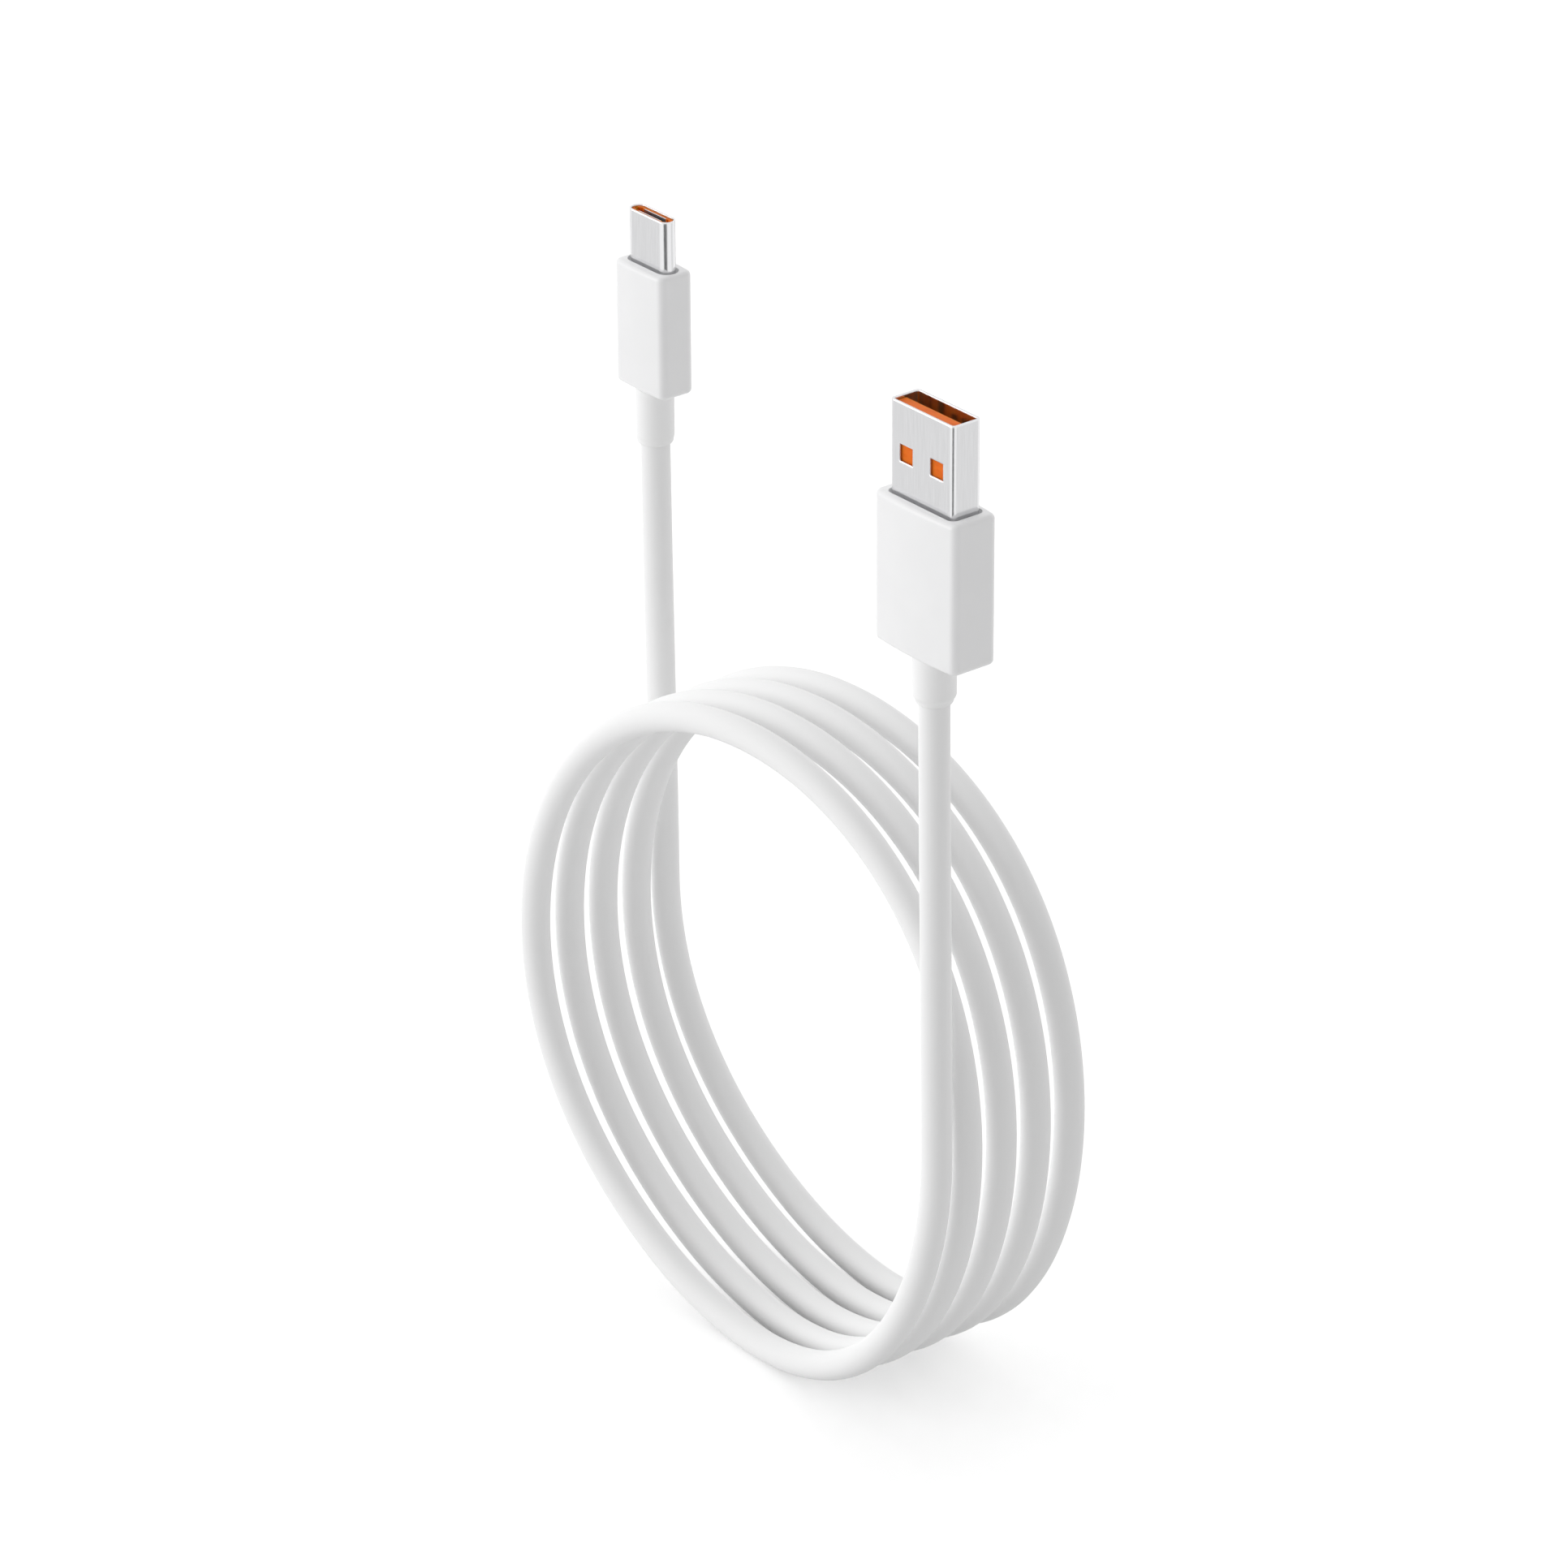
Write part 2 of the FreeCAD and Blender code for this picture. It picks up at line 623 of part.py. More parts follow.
def make_shell(p, spot):
    body = new_body(f"usb_{p}_shell")
    outline = new_sketch(body, "XY_Plane", f"-{p}_shell_rear")
    draw_shell_outline(outline, p, "0")
    pad(body, outline, f"{p}_shell_rear + {p}_shell_reach")
    inside = new_sketch(body, "XY_Plane", f"-{p}_shell_rear")
    draw_shell_outline(inside, p, f"-{p}_shell_wall")
    pocket(body, inside, f"{p}_shell_rear + {p}_shell_reach + 1")
    place(body, *spot)
    return body


def make_rear_shield(p, spot):
    """Sheet can over the soldered ends, from round the shell to the crimp ring."""
    body = new_body(f"usb_{p}_rear_shield")
    outline = new_sketch(body, "XY_Plane", can_rear(p))
    draw_can_outline(outline, p, "0")
    pad(body, outline, f"{can_front(p)} - {can_rear(p)}")
    inside = new_sketch(body, "XY_Plane", f"{can_rear(p)} + can_wall")
    draw_can_outline(inside, p, "-can_wall")
    pocket(body, inside, f"{can_front(p)} - {can_rear(p)} - 2 * can_wall")
    front = new_sketch(body, "XY_Plane", f"{can_front(p)} - can_wall")
    draw_shell_outline(front, p, "slip")
    pocket(body, front, "can_wall + 1")
    rear = new_sketch(body, "XY_Plane", f"{can_rear(p)} - 1")
    draw_circle(rear, CRIMP_INSIDE)
    pocket(body, rear, "can_wall + 1.1")
    place(body, *spot)
    return body


def make_inner_mould(p, spot):
    body = new_body(f"usb_{p}_inner_mould")
    outline = new_sketch(body, "XY_Plane", floor_top(p))
    draw_can_outline(outline, p, "0", MOULD_THICKNESS[p])
    pad(body, outline, f"{can_rear(p)} - {floor_top(p)}")
    bore = new_sketch(body, "XY_Plane", floor_top(p))
    draw_circle(bore, f"{CRIMP_OUTSIDE} + 2 * slip")
    pocket(body, bore, f"{can_rear(p)} - {floor_top(p)} + 1")
    place(body, *spot)
    return body


def make_overmould(p, spot):
    """Outer case: bowed broad faces, sunk band round the shell, cavities, throat for the cord."""
    body = new_body(f"usb_{p}_overmould")
    outline = new_sketch(body, "XY_Plane", f"-{p}_body_length")
    draw_bowed_outline(outline, f"{p}_body_width", f"{p}_body_thickness", f"{p}_body_bow")
    case = pad(body, outline, f"{p}_body_length")
    case = fillet(body, case, f"{p}_body_corner", is_upright)
    bottom = -size(f"{p}_body_length")
    case = fillet(body, case, f"{p}_body_rim", lambda edge: lies_at(edge, 0) or lies_at(edge, bottom))
    band = new_sketch(body, "XY_Plane", f"-{p}_recess_depth")
    draw_shell_outline(band, p, f"{p}_recess_margin")
    pocket(body, band, f"{p}_recess_depth + 1")
    hole = new_sketch(body, "XY_Plane", can_front(p))
    draw_shell_outline(hole, p, "slip")
    pocket(body, hole, f"1 - {can_front(p)}")
    can_room = new_sketch(body, "XY_Plane", can_rear(p))
    draw_can_outline(can_room, p, "slip")
    pocket(body, can_room, f"{can_front(p)} - {can_rear(p)}")
    mould_room = new_sketch(body, "XY_Plane", floor_top(p))
    draw_can_outline(mould_room, p, "slip", MOULD_THICKNESS[p])
    pocket(body, mould_room, f"{can_rear(p)} - {floor_top(p)}")
    throat = new_sketch(body, "XY_Plane", f"-{p}_body_length - 1")
    draw_circle(throat, f"{p}_relief_diameter - 2 * relief_step + 2 * slip")
    pocket(body, throat, f"{p}_body_floor + 1.1")
    place(body, *spot)
    return body


def cylinder(label, radius, height, spot, z):
    piece = doc.addObject("Part::Cylinder", label)
    bind(piece, "Radius", radius)
    bind(piece, "Height", height)
    place(piece, spot[0], spot[1], f"{spot[2]} + {z}")
    return piece


def cut(label, piece, tool):
    result = doc.addObject("Part::Cut", label)
    result.Label = label
    result.Base = piece
    result.Tool = tool
    return result


def pipe(label, outside, inside, low, high, spot):
    """Straight tube between two heights."""
    outer = cylinder(label + "_outside", f"({outside}) / 2", f"{high} - {low}", spot, low)
    inner = cylinder(label + "_inside", f"({inside}) / 2", f"{high} - {low}", spot, low)
    return cut(label, outer, inner)


def make_strain_relief(p, spot):
    """Soft sleeve: neck in the overmould's throat, straight part, tapered mouth."""
    label = f"usb_{p}_strain_relief"
    mouth = f"(-{p}_body_length - {p}_relief_length)"
    sleeve = cylinder(label + "_sleeve", f"{p}_relief_diameter / 2", f"{p}_relief_length - relief_taper",
                      spot, f"{mouth} + relief_taper")
    neck = cylinder(label + "_neck", f"{p}_relief_diameter / 2 - relief_step", f"{p}_body_floor",
                    spot, f"-{p}_body_length")
    taper = doc.addObject("Part::Cone", label + "_taper")
    bind(taper, "Radius1", "cord_diameter / 2 + ease + relief_lip")
    bind(taper, "Radius2", f"{p}_relief_diameter / 2")
    bind(taper, "Height", "relief_taper")
    place(taper, spot[0], spot[1], f"{spot[2]} + {mouth}")
    solid = doc.addObject("Part::MultiFuse", label + "_solid")
    solid.Shapes = [taper, sleeve, neck]
    bore = cylinder(label + "_bore", "cord_diameter / 2 + ease", f"{p}_relief_length + {p}_body_floor",
                    spot, mouth)
    return cut(label, solid, bore)


def numbers_of(spot):
    """The plug's own place as numbers."""
    if spot is A_SPOT:
        return Vector(0, 0, 0)
    return Vector(-2 * size("loop_half_width"),
                  size("loop_pitch") * (size("coil_turns") - size("loop_ramp")), size("c_plug_height"))


def make_wires(p, spot, starts, goals):
    """Wires from the middle of the strain relief to their soldered ends, and the solder.

    A goal is the place across the plug, the height of the face that the wire is soldered to,
    and the side of that face, 1 or -1.
    """
    here = numbers_of(spot)
    back = -size(f"{p}_shell_rear") - size(f"{p}_back_length")
    foot = -size(f"{p}_body_length")
    can_end = foot + size(f"{p}_body_floor") + size(f"{p}_crimp_gap") + size("crimp_length")
    low = foot - size(f"{p}_relief_length") / 2
    joints = []
    for name, (x, face, side) in goals.items():
        radius = wire_radius(name)
        bare = radius * size("bare_share")
        start = starts[name]
        y = face + side * radius
        insulation_end = Vector(x, y, back + size("insulation_lap")) + here
        points = [Vector(start.x, start.y, low) + here,
                  Vector(start.x, start.y, can_end + size("wire_straight")) + here,
                  Vector(x, y, back - size("wire_landing")) + here,
                  insulation_end]
        edges, radii = rounded_route(points, size("wire_bend"))
        covered = tube(edges, radius)
        end = Part.makeCylinder(bare, size("bare_length"), insulation_end)
        label = f"usb_{p}_wire_{name}"
        feature_of(label, covered.fuse(end))
        report_tube(label, covered, edges, math.pi * radius ** 2, radii)
        joints.append(solder_joint(insulation_end, face + here.y, side, radius, bare))
    feature_of(f"usb_{p}_solder_joints", Part.makeCompound(joints))


def solder_joint(insulation_end, face, side, radius, bare):
    """Half drop on the face, round the middle of the bare end."""
    middle = insulation_end + Vector(0, 0, size("bare_length") / 2)
    height = radius + bare + size("solder_cover")
    stretch = FreeCAD.Matrix()
    stretch.scale(size("solder_half_width"), height, size("solder_half_length"))
    drop = Part.makeSphere(1.0).transformGeometry(stretch)
    drop.translate(Vector(middle.x, face, middle.z))
    room = Part.makeBox(2, 2, 3, Vector(middle.x - 1, face if side > 0 else face - 2, middle.z - 1.5))
    channel = Part.makeCylinder(bare + size("slip"), 3, middle - Vector(0, 0, 1.5))
    return drop.common(room).cut(channel).Solids[0]


def make_cord_end(p, spot):
    """Jacket, braid and crimp ring inside the plug."""
    pipe(f"usb_{p}_jacket_end", "cord_diameter", "cord_diameter - 2 * jacket_wall",
         pivot(p), floor_top(p), spot)
    pipe(f"usb_{p}_braid_end", BRAID_OUTSIDE, f"{BRAID_OUTSIDE} - 2 * braid_wall",
         pivot(p), can_rear(p), spot)
    pipe(f"usb_{p}_crimp_ring", CRIMP_OUTSIDE, CRIMP_INSIDE,
         f"({can_rear(p)} - crimp_length)", can_rear(p), spot)


# Flat plug

def make_flat_plug():
    make_flat_plug_shell()
    make_contact_insulator()
    for name in WIRES:
        kind = WIRES[name][1]
        place_of_contact = f"a_{kind}_contact_place"
        x = place_of_contact if name in ("ground", "data_plus") else "-" + place_of_contact
        length = f"a_shell_reach - a_{kind}_contact_setback + a_shell_rear + a_back_length - a_contact_end"
        block("usb_a_contact_" + name, "a_contact_width", "a_contact_thickness", length,
              x, TONGUE_TOP, "a_contact_end - a_shell_rear - a_back_length")
    make_rear_shield("a", A_SPOT)
    make_inner_mould("a", A_SPOT)
    make_overmould("a", A_SPOT)
    make_strain_relief("a", A_SPOT)
    make_cord_end("a", A_SPOT)
    face = (size("a_tongue_thickness") - size("a_shell_thickness") / 2 + size("a_shell_wall")
            + size("slip") + size("a_contact_thickness"))
    outer = size("a_power_contact_place")
    inner = size("a_data_contact_place")
    goals = {
        "power": (-outer, face, 1),
        "ground": (outer, face, 1),
        "data_minus": (-inner, face, 1),
        "data_plus": (inner, face, 1),
    }
    make_wires("a", A_SPOT, {name: wire_offset(name) for name in WIRES}, goals)


TONGUE_FOOT = "(a_shell_wall + slip - a_shell_thickness / 2)"
TONGUE_TOP = "(a_tongue_thickness + a_shell_wall + slip - a_shell_thickness / 2)"


def make_flat_plug_shell():
    shell = make_shell("a", A_SPOT)
    windows = new_sketch(shell, "XZ_Plane")
    for side in (-1, 1):
        draw_rectangle(windows, f"{side} * a_window_spacing / 2 - a_window_width / 2",
                       "a_shell_reach - a_window_setback - a_window_height / 2",
                       "a_window_width", "a_window_height")
    pocket(shell, windows, "a_shell_thickness + 2", both_ways=True)


def make_contact_insulator():
    """Block that fills the shell's rear, tongue in its mouth, shelf behind it."""
    body = new_body("usb_a_contact_insulator")
    filling = new_sketch(body, "XY_Plane", "-a_shell_rear")
    draw_shell_outline(filling, "a", "-a_shell_wall - slip")
    pad(body, filling, "a_shell_rear + a_shell_reach - a_cavity_depth")
    slab = new_sketch(body, "XY_Plane", "-a_shell_rear - a_back_length")
    draw_rectangle(slab, "-a_tongue_width / 2", TONGUE_FOOT, "a_tongue_width", "a_tongue_thickness")
    pad(body, slab, "a_back_length + a_shell_rear + a_shell_reach - a_tongue_setback")
    slots = new_sketch(body, "XY_Plane", "-a_shell_rear")
    for kind in ("power", "data"):
        for side in (-1, 1):
            draw_rectangle(slots, f"{side} * a_{kind}_contact_place - a_contact_width / 2 - slip",
                           TONGUE_TOP, "a_contact_width + 2 * slip", "a_contact_thickness + slip")
    pocket(body, slots, "a_shell_rear + a_shell_reach - a_cavity_depth + 0.5")


# Oval plug

UPPER_PLACES = (1, 4, 5, 6, 7, 9, 12)
LOWER_PLACES = (1, 4, 9, 12)
PLACES = 12
INSULATOR_TIP = "(c_shell_reach - c_insulator_setback)"
SLOT_FACE = "(c_slot_thickness / 2)"


def contact_x(place_number):
    return "(%s * c_contact_pitch)" % (place_number - (PLACES + 1) / 2)


def make_oval_plug(starts):
    make_shell("c", C_SPOT)
    make_oval_insulator()
    rows = (("upper", UPPER_PLACES, SLOT_FACE), ("lower", LOWER_PLACES, f"-{SLOT_FACE} - c_contact_thickness"))
    for row, places, y in rows:
        strips = []
        for number in places:
            strip = block(f"usb_c_{row}_contact_{number}", "c_contact_width", "c_contact_thickness",
                          "c_shell_reach - c_contact_setback + c_shell_rear + c_tail_length",
                          contact_x(number), y, "-c_shell_rear - c_tail_length", C_SPOT)
            strips.append(strip)
        group(f"usb_c_{row}_contacts", strips)
    make_latch("left", -1)
    make_latch("right", 1)
    for side, y in (("upper", SLOT_FACE), ("lower", f"-{SLOT_FACE} - c_spring_thickness")):
        block(f"usb_c_{side}_ground_spring", "c_spring_width", "c_spring_thickness", "c_spring_length",
              "0", y, f"{INSULATOR_TIP} - c_spring_length", C_SPOT)
    block("usb_c_circuit_board", "c_board_width", "c_slot_thickness", "c_back_length",
          "0", f"-{SLOT_FACE}", "-c_shell_rear - c_back_length", C_SPOT)
    block("usb_c_pull_up_resistor", "c_resistor_width", "c_resistor_height", "c_resistor_length",
          "c_power_wire_place", SLOT_FACE, "-c_shell_rear - c_back_length / 2", C_SPOT)
    make_rear_shield("c", C_SPOT)
    make_inner_mould("c", C_SPOT)
    make_overmould("c", C_SPOT)
    make_strain_relief("c", C_SPOT)
    make_cord_end("c", C_SPOT)
    face = size("c_slot_thickness") / 2
    goals = {}
    for name, start in starts.items():
        side = 1 if start.y > 0 else -1
        across = size(f"c_{WIRES[name][1]}_wire_place")
        goals[name] = (math.copysign(across, start.x), side * face, side)
    make_wires("c", C_SPOT, starts, goals)


def make_oval_insulator():
    """Fills the shell but for the mouth, with grooves for contacts, latches and ground springs."""
    body = new_body("usb_c_contact_insulator")
    outline = new_sketch(body, "XY_Plane", "-c_shell_rear")
    draw_shell_outline(outline, "c", "-c_shell_wall - slip")
    pad(body, outline, f"c_shell_rear + {INSULATOR_TIP}")
    slot = new_sketch(body, "XY_Plane", f"{INSULATOR_TIP} - c_slot_depth")
    draw_oval_outline(slot, "c_slot_width", "c_slot_thickness")
    pocket(body, slot, "c_slot_depth + 1")
    grooves = new_sketch(body, "XY_Plane", "-c_shell_rear")
    for places, bottom in ((UPPER_PLACES, SLOT_FACE), (LOWER_PLACES, f"-{SLOT_FACE} - c_contact_thickness")):
        for number in places:
            draw_rectangle(grooves, f"{contact_x(number)} - c_contact_width / 2 - slip", bottom,
                           "c_contact_width + 2 * slip", "c_contact_thickness")
    for left in ("c_slot_width / 2", "-c_slot_width / 2 - c_latch_thickness - slip"):
        draw_rectangle(grooves, left, "-c_latch_width / 2 - slip",
                       "c_latch_thickness + slip", "c_latch_width + 2 * slip")
    pocket(body, grooves, f"c_shell_rear + {INSULATOR_TIP} + 1")
    rests = new_sketch(body, "XY_Plane", f"{INSULATOR_TIP} - c_spring_length")
    draw_rectangle(rests, "-c_spring_width / 2 - slip", f"-{SLOT_FACE} - c_spring_thickness",
                   "c_spring_width + 2 * slip", f"2 * ({SLOT_FACE} + c_spring_thickness)")
    pocket(body, rests, "c_spring_length + 1")
    place(body, *C_SPOT)


def make_latch(side, sign):
    """Spring strip beside the mouth, with a hook that stands into it."""
    label = f"usb_c_{side}_latch"
    top = "(c_shell_reach - c_latch_setback)"
    strip = block(label + "_strip", "c_latch_thickness", "c_latch_width", f"{top} + c_shell_rear",
                  f"{sign} * (c_slot_width + c_latch_thickness) / 2", "-c_latch_width / 2",
                  "-c_shell_rear", C_SPOT)
    hook = block(label + "_hook", "c_hook_reach", "c_latch_width", "c_hook_length",
                 f"{sign} * (c_slot_width - c_hook_reach) / 2", "-c_latch_width / 2",
                 f"{top} - c_hook_length", C_SPOT)
    both = doc.addObject("Part::MultiFuse", label)
    both.Label = label
    both.Shapes = [strip, hook]


def nodes():
    """Every piece that is exported, in the order of the assembly."""
    plug = ["jacket_end", "braid_end", "crimp_ring", "rear_shield", "inner_mould", "overmould",
            "strain_relief", "solder_joints", "shell", "contact_insulator"]
    names = [f"usb_{p}_{piece}" for p in "ac" for piece in plug]
    names += [f"usb_{p}_wire_{name}" for p in "ac" for name in WIRES]
    names += ["usb_a_contact_" + name for name in WIRES]
    names += ["usb_c_upper_contacts", "usb_c_lower_contacts", "usb_c_left_latch", "usb_c_right_latch",
              "usb_c_upper_ground_spring", "usb_c_lower_ground_spring", "usb_c_circuit_board",
              "usb_c_pull_up_resistor"]
    names += ["cord_jacket_coil", "cord_jacket_to_usb_a", "cord_jacket_to_usb_c", "cord_shield_braid"]
    names += ["cord_wire_" + name for name in WIRES]
    return sorted(names)


def check_and_export():
    doc.recompute()
    for thing in doc.Objects:
        if "Invalid" in thing.State or "Error" in thing.State:
            raise RuntimeError("%s: %s" % (thing.Label, thing.State))
    found = {thing.Label: thing for thing in doc.Objects}
    os.makedirs("parts", exist_ok=True)
    for name in nodes():
        shape = found[name].Shape
        if shape.isNull() or not shape.isValid() or not shape.Solids:
            raise RuntimeError("%s has no valid solid" % name)
        shape.exportStep("parts/%s.step" % name)
        box = shape.BoundBox
        print("%-28s %2d solid  %8.2f mm3  z %8.2f %8.2f"
              % (name, len(shape.Solids), shape.Volume, box.ZMin, box.ZMax))


make_flat_plug()
make_oval_plug(cord_body_pieces())
check_and_export()
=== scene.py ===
import json
import math

import bmesh
import bpy
from bpy.props import FloatProperty, FloatVectorProperty, IntProperty, PointerProperty
from mathutils import Matrix, Vector


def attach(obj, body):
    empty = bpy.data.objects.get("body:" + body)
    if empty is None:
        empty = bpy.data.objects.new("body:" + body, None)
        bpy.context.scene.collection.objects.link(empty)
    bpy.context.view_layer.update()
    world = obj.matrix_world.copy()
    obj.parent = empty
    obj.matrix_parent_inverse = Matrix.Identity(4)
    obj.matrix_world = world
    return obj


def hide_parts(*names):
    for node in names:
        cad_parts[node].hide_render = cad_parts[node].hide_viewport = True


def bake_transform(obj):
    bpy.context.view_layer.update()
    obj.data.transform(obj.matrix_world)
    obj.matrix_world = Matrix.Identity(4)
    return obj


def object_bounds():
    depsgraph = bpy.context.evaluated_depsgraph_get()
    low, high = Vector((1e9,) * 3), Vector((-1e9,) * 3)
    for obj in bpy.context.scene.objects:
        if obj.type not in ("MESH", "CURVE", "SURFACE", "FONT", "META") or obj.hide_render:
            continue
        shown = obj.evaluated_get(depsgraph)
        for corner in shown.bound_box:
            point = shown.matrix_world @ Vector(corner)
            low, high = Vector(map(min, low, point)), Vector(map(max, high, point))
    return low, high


bl_info = {
    "name": "Charging cable",
    "version": (1, 0, 0),
    "blender": (4, 5, 0),
    "location": "View3D > Sidebar > Cable",
    "description": "Builds the looks of a charging cable round its fixed frame",
    "category": "Object",
}

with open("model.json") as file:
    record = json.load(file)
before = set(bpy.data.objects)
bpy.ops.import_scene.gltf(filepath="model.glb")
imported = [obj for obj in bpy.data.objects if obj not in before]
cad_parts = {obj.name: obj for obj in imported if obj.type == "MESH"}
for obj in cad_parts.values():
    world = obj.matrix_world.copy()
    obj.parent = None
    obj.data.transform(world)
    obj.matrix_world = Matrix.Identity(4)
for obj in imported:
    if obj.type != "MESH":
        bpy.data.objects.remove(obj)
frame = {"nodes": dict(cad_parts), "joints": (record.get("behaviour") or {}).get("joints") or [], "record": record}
cad_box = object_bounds()

MM = 0.001


def length(name, description, millimetres):
    """A length that is stored in metres."""
    return FloatProperty(name=name, description=description, default=millimetres * MM,
                         unit="LENGTH", subtype="DISTANCE", precision=5)


def number(name, description, default):
    return FloatProperty(name=name, description=description, default=default)


def angle(name, description, degrees):
    return FloatProperty(name=name, description=description, default=math.radians(degrees),
                         unit="ROTATION", subtype="ANGLE")


def colour(name, description, values):
    return FloatVectorProperty(name=name, description=description, default=values,
                               size=3, subtype="COLOR", min=0.0, max=1.0)


class CableCordSettings(bpy.types.PropertyGroup):
    """The cord's route, the same values as in the part's source."""

    diameter: length("Diameter", "Outside of the jacket", 4.0)
    real_length: length("Length", "Cord from one strain relief to the other", 1371.6)
    turns: number("Turns", "Whole and half turns of the coil", 4.5)
    points_per_turn: IntProperty(name="Points per turn", description="Control points in a turn",
                                 default=20, min=12, max=24)
    half_width: length("Half width", "Half the width of a loop", 44.0)
    half_height: length("Half height", "Half the height of a loop", 43.8)
    pitch: length("Pitch", "Step from a loop to the next", 5.75)
    ramp: number("Ramp", "Turns over which the step builds up at each end", 0.25)
    egg: length("Egg", "How far a loop is fuller towards one side", 1.7)
    square: length("Square", "How far a loop is flattened at its top and foot", 0.5)
    lean: length("Lean", "How far a loop leans", 0.6)
    drop: length("Drop", "Coil's near end below the flat plug's seat", 91.4)
    shift: length("Shift", "How far the coil stands to the right of both plugs", 0.9)
    stretch_end: length("Stretch end", "Straight run at the top of each upright stretch", 8.0)
    end_gap: length("End gap", "Room that lets the cord's end swing inside the strain relief", 1.0)


class CableReliefSettings(bpy.types.PropertyGroup):
    """Sizes of the two strain reliefs."""

    flat_foot: length("Flat plug foot", "Height of the flat plug's overmould foot", -20.2)
    flat_length: length("Flat plug relief", "Length past the overmould", 6.9)
    flat_diameter: length("Flat plug relief diameter", "Outside of the sleeve", 5.6)
    oval_foot: length("Oval plug foot", "Height of the oval plug's overmould foot", -20.2)
    oval_length: length("Oval plug relief", "Length past the overmould", 8.0)
    oval_diameter: length("Oval plug relief diameter", "Outside of the sleeve", 5.2)
    neck_step: length("Neck step", "Step from the sleeve to its neck in the overmould", 0.3)
    neck_length: length("Neck length", "Neck inside the overmould", 1.3)
    taper: length("Taper", "Tapered end of the sleeve", 1.2)
    bore: length("Bore", "Radius of the bore round the cord", 2.1)
    lip: length("Lip", "Wall at the mouth", 0.25)
    sides: IntProperty(name="Sides", description="Points round a sleeve", default=64, min=24)
    rings: IntProperty(name="Rings", description="Rings along the straight part", default=28, min=8)


class CableViewSettings(bpy.types.PropertyGroup):
    """The photograph's camera, as fitted to the cord and the plugs, and the studio's light."""

    distance: length("Distance", "Camera to the target", 900.0)
    turn: angle("Turn", "How far the camera stands to the right of the front", 50.851)
    rise: angle("Rise", "How far it looks down", 26.017)
    across: length("Across", "Target to the right of the origin, in the picture", -9.72)
    up: length("Up", "Target above the origin, in the picture", -34.305)
    lens: number("Lens", "Focal length in millimetres on a 36 mm wide sensor", 169.32)
    shift: number("Shift", "Sideways shift of the picture", -0.0487)
    light_left: number("Sky left", "Strength of the soft light on the left and behind", 1.36)
    light_right: number("Sky right", "Strength of the soft light on the front right", 0.50)
    key: number("Key", "Strength of the key light from the front left", 1.09)
    floor_glow: number("Floor glow", "Light added to the floor as the camera sees it", 0.37)


class CableFinishSettings(bpy.types.PropertyGroup):
    """Colours of the visible materials."""

    case: colour("Case", "Overmoulds and strain reliefs", (0.86, 0.86, 0.865))
    jacket: colour("Jacket", "Cord jacket", (0.84, 0.84, 0.845))
    steel: colour("Steel", "Plug shells", (0.71, 0.71, 0.72))
    orange: colour("Orange", "Contact insulators", (0.82, 0.16, 0.008))
    orange_shade: colour("Orange shade", "Darker parts of the insulators", (0.70, 0.115, 0.005))
    gold: colour("Gold", "Contacts", (0.83, 0.60, 0.24))
    grain: length("Grain", "Size of the plastic's fine grain", 0.25)


# Materials

class Shader:
    """Short ways to add and join nodes."""

    def __init__(self, tree):
        self.tree = tree

    def add(self, kind, **values):
        node = self.tree.nodes.new(kind)
        for name, value in values.items():
            setattr(node, name, value)
        return node

    def join(self, output, node, socket):
        self.tree.links.new(output, node.inputs[socket])


class Finish(Shader):
    """The nodes of one material."""

    def __init__(self, name):
        self.material = bpy.data.materials.new(name)
        self.material.use_nodes = True
        super().__init__(self.material.node_tree)
        self.shader = self.tree.nodes["Principled BSDF"]
        self.place = self.add("ShaderNodeTexCoord").outputs["Object"]

    def set(self, **values):
        """Values of the surface's sockets, with _ for a blank in a socket's name."""
        for name, value in values.items():
            self.shader.inputs[name.replace("_", " ")].default_value = value

    def stretched(self, x, y, z):
        """Place, scaled differently along each axis."""
        mapping = self.add("ShaderNodeMapping")
        mapping.inputs["Scale"].default_value = (x, y, z)
        self.join(self.place, mapping, "Vector")
        return mapping.outputs["Vector"]

    def noise(self, size, detail=3.0, place=None):
        """Noise whose grains are size metres wide."""
        node = self.add("ShaderNodeTexNoise")
        node.inputs["Scale"].default_value = 1.0 / size
        node.inputs["Detail"].default_value = detail
        self.join(place or self.place, node, "Vector")
        return node.outputs["Fac"]

    def ramp(self, factor, low, high, start=0.35, end=0.65):
        """Colour from low to high as the factor goes from start to end."""
        node = self.add("ShaderNodeValToRGB")
        node.color_ramp.elements[0].position = start
        node.color_ramp.elements[1].position = end
        node.color_ramp.elements[0].color = (*low, 1.0)
        node.color_ramp.elements[1].color = (*high, 1.0)
        self.join(factor, node, "Fac")
        return node.outputs["Color"]

    def spread(self, factor, low, high):
        """Factor brought from 0..1 to low..high."""
        node = self.add("ShaderNodeMapRange")
        node.inputs["To Min"].default_value = low
        node.inputs["To Max"].default_value = high
        self.join(factor, node, "Value")
        return node.outputs["Result"]

    def mixed(self, factor, first, second):
        """First factor, with this share of the second in it."""
        node = self.add("ShaderNodeMix", data_type="FLOAT")
        node.inputs["Factor"].default_value = factor
        self.join(first, node, 2)
        self.join(second, node, 3)
        return node.outputs[0]

    def bump(self, height, depth, edge=0.0):
        """Relief of the given depth in metres, over edges softened by edge metres."""
        node = self.add("ShaderNodeBump")
        node.inputs["Strength"].default_value = 1.0
        node.inputs["Distance"].default_value = depth
        self.join(height, node, "Height")
        if edge:
            soft = self.add("ShaderNodeBevel", samples=6)
            soft.inputs["Radius"].default_value = edge
            self.join(soft.outputs["Normal"], node, "Normal")
        self.join(node.outputs["Normal"], self.shader, "Normal")


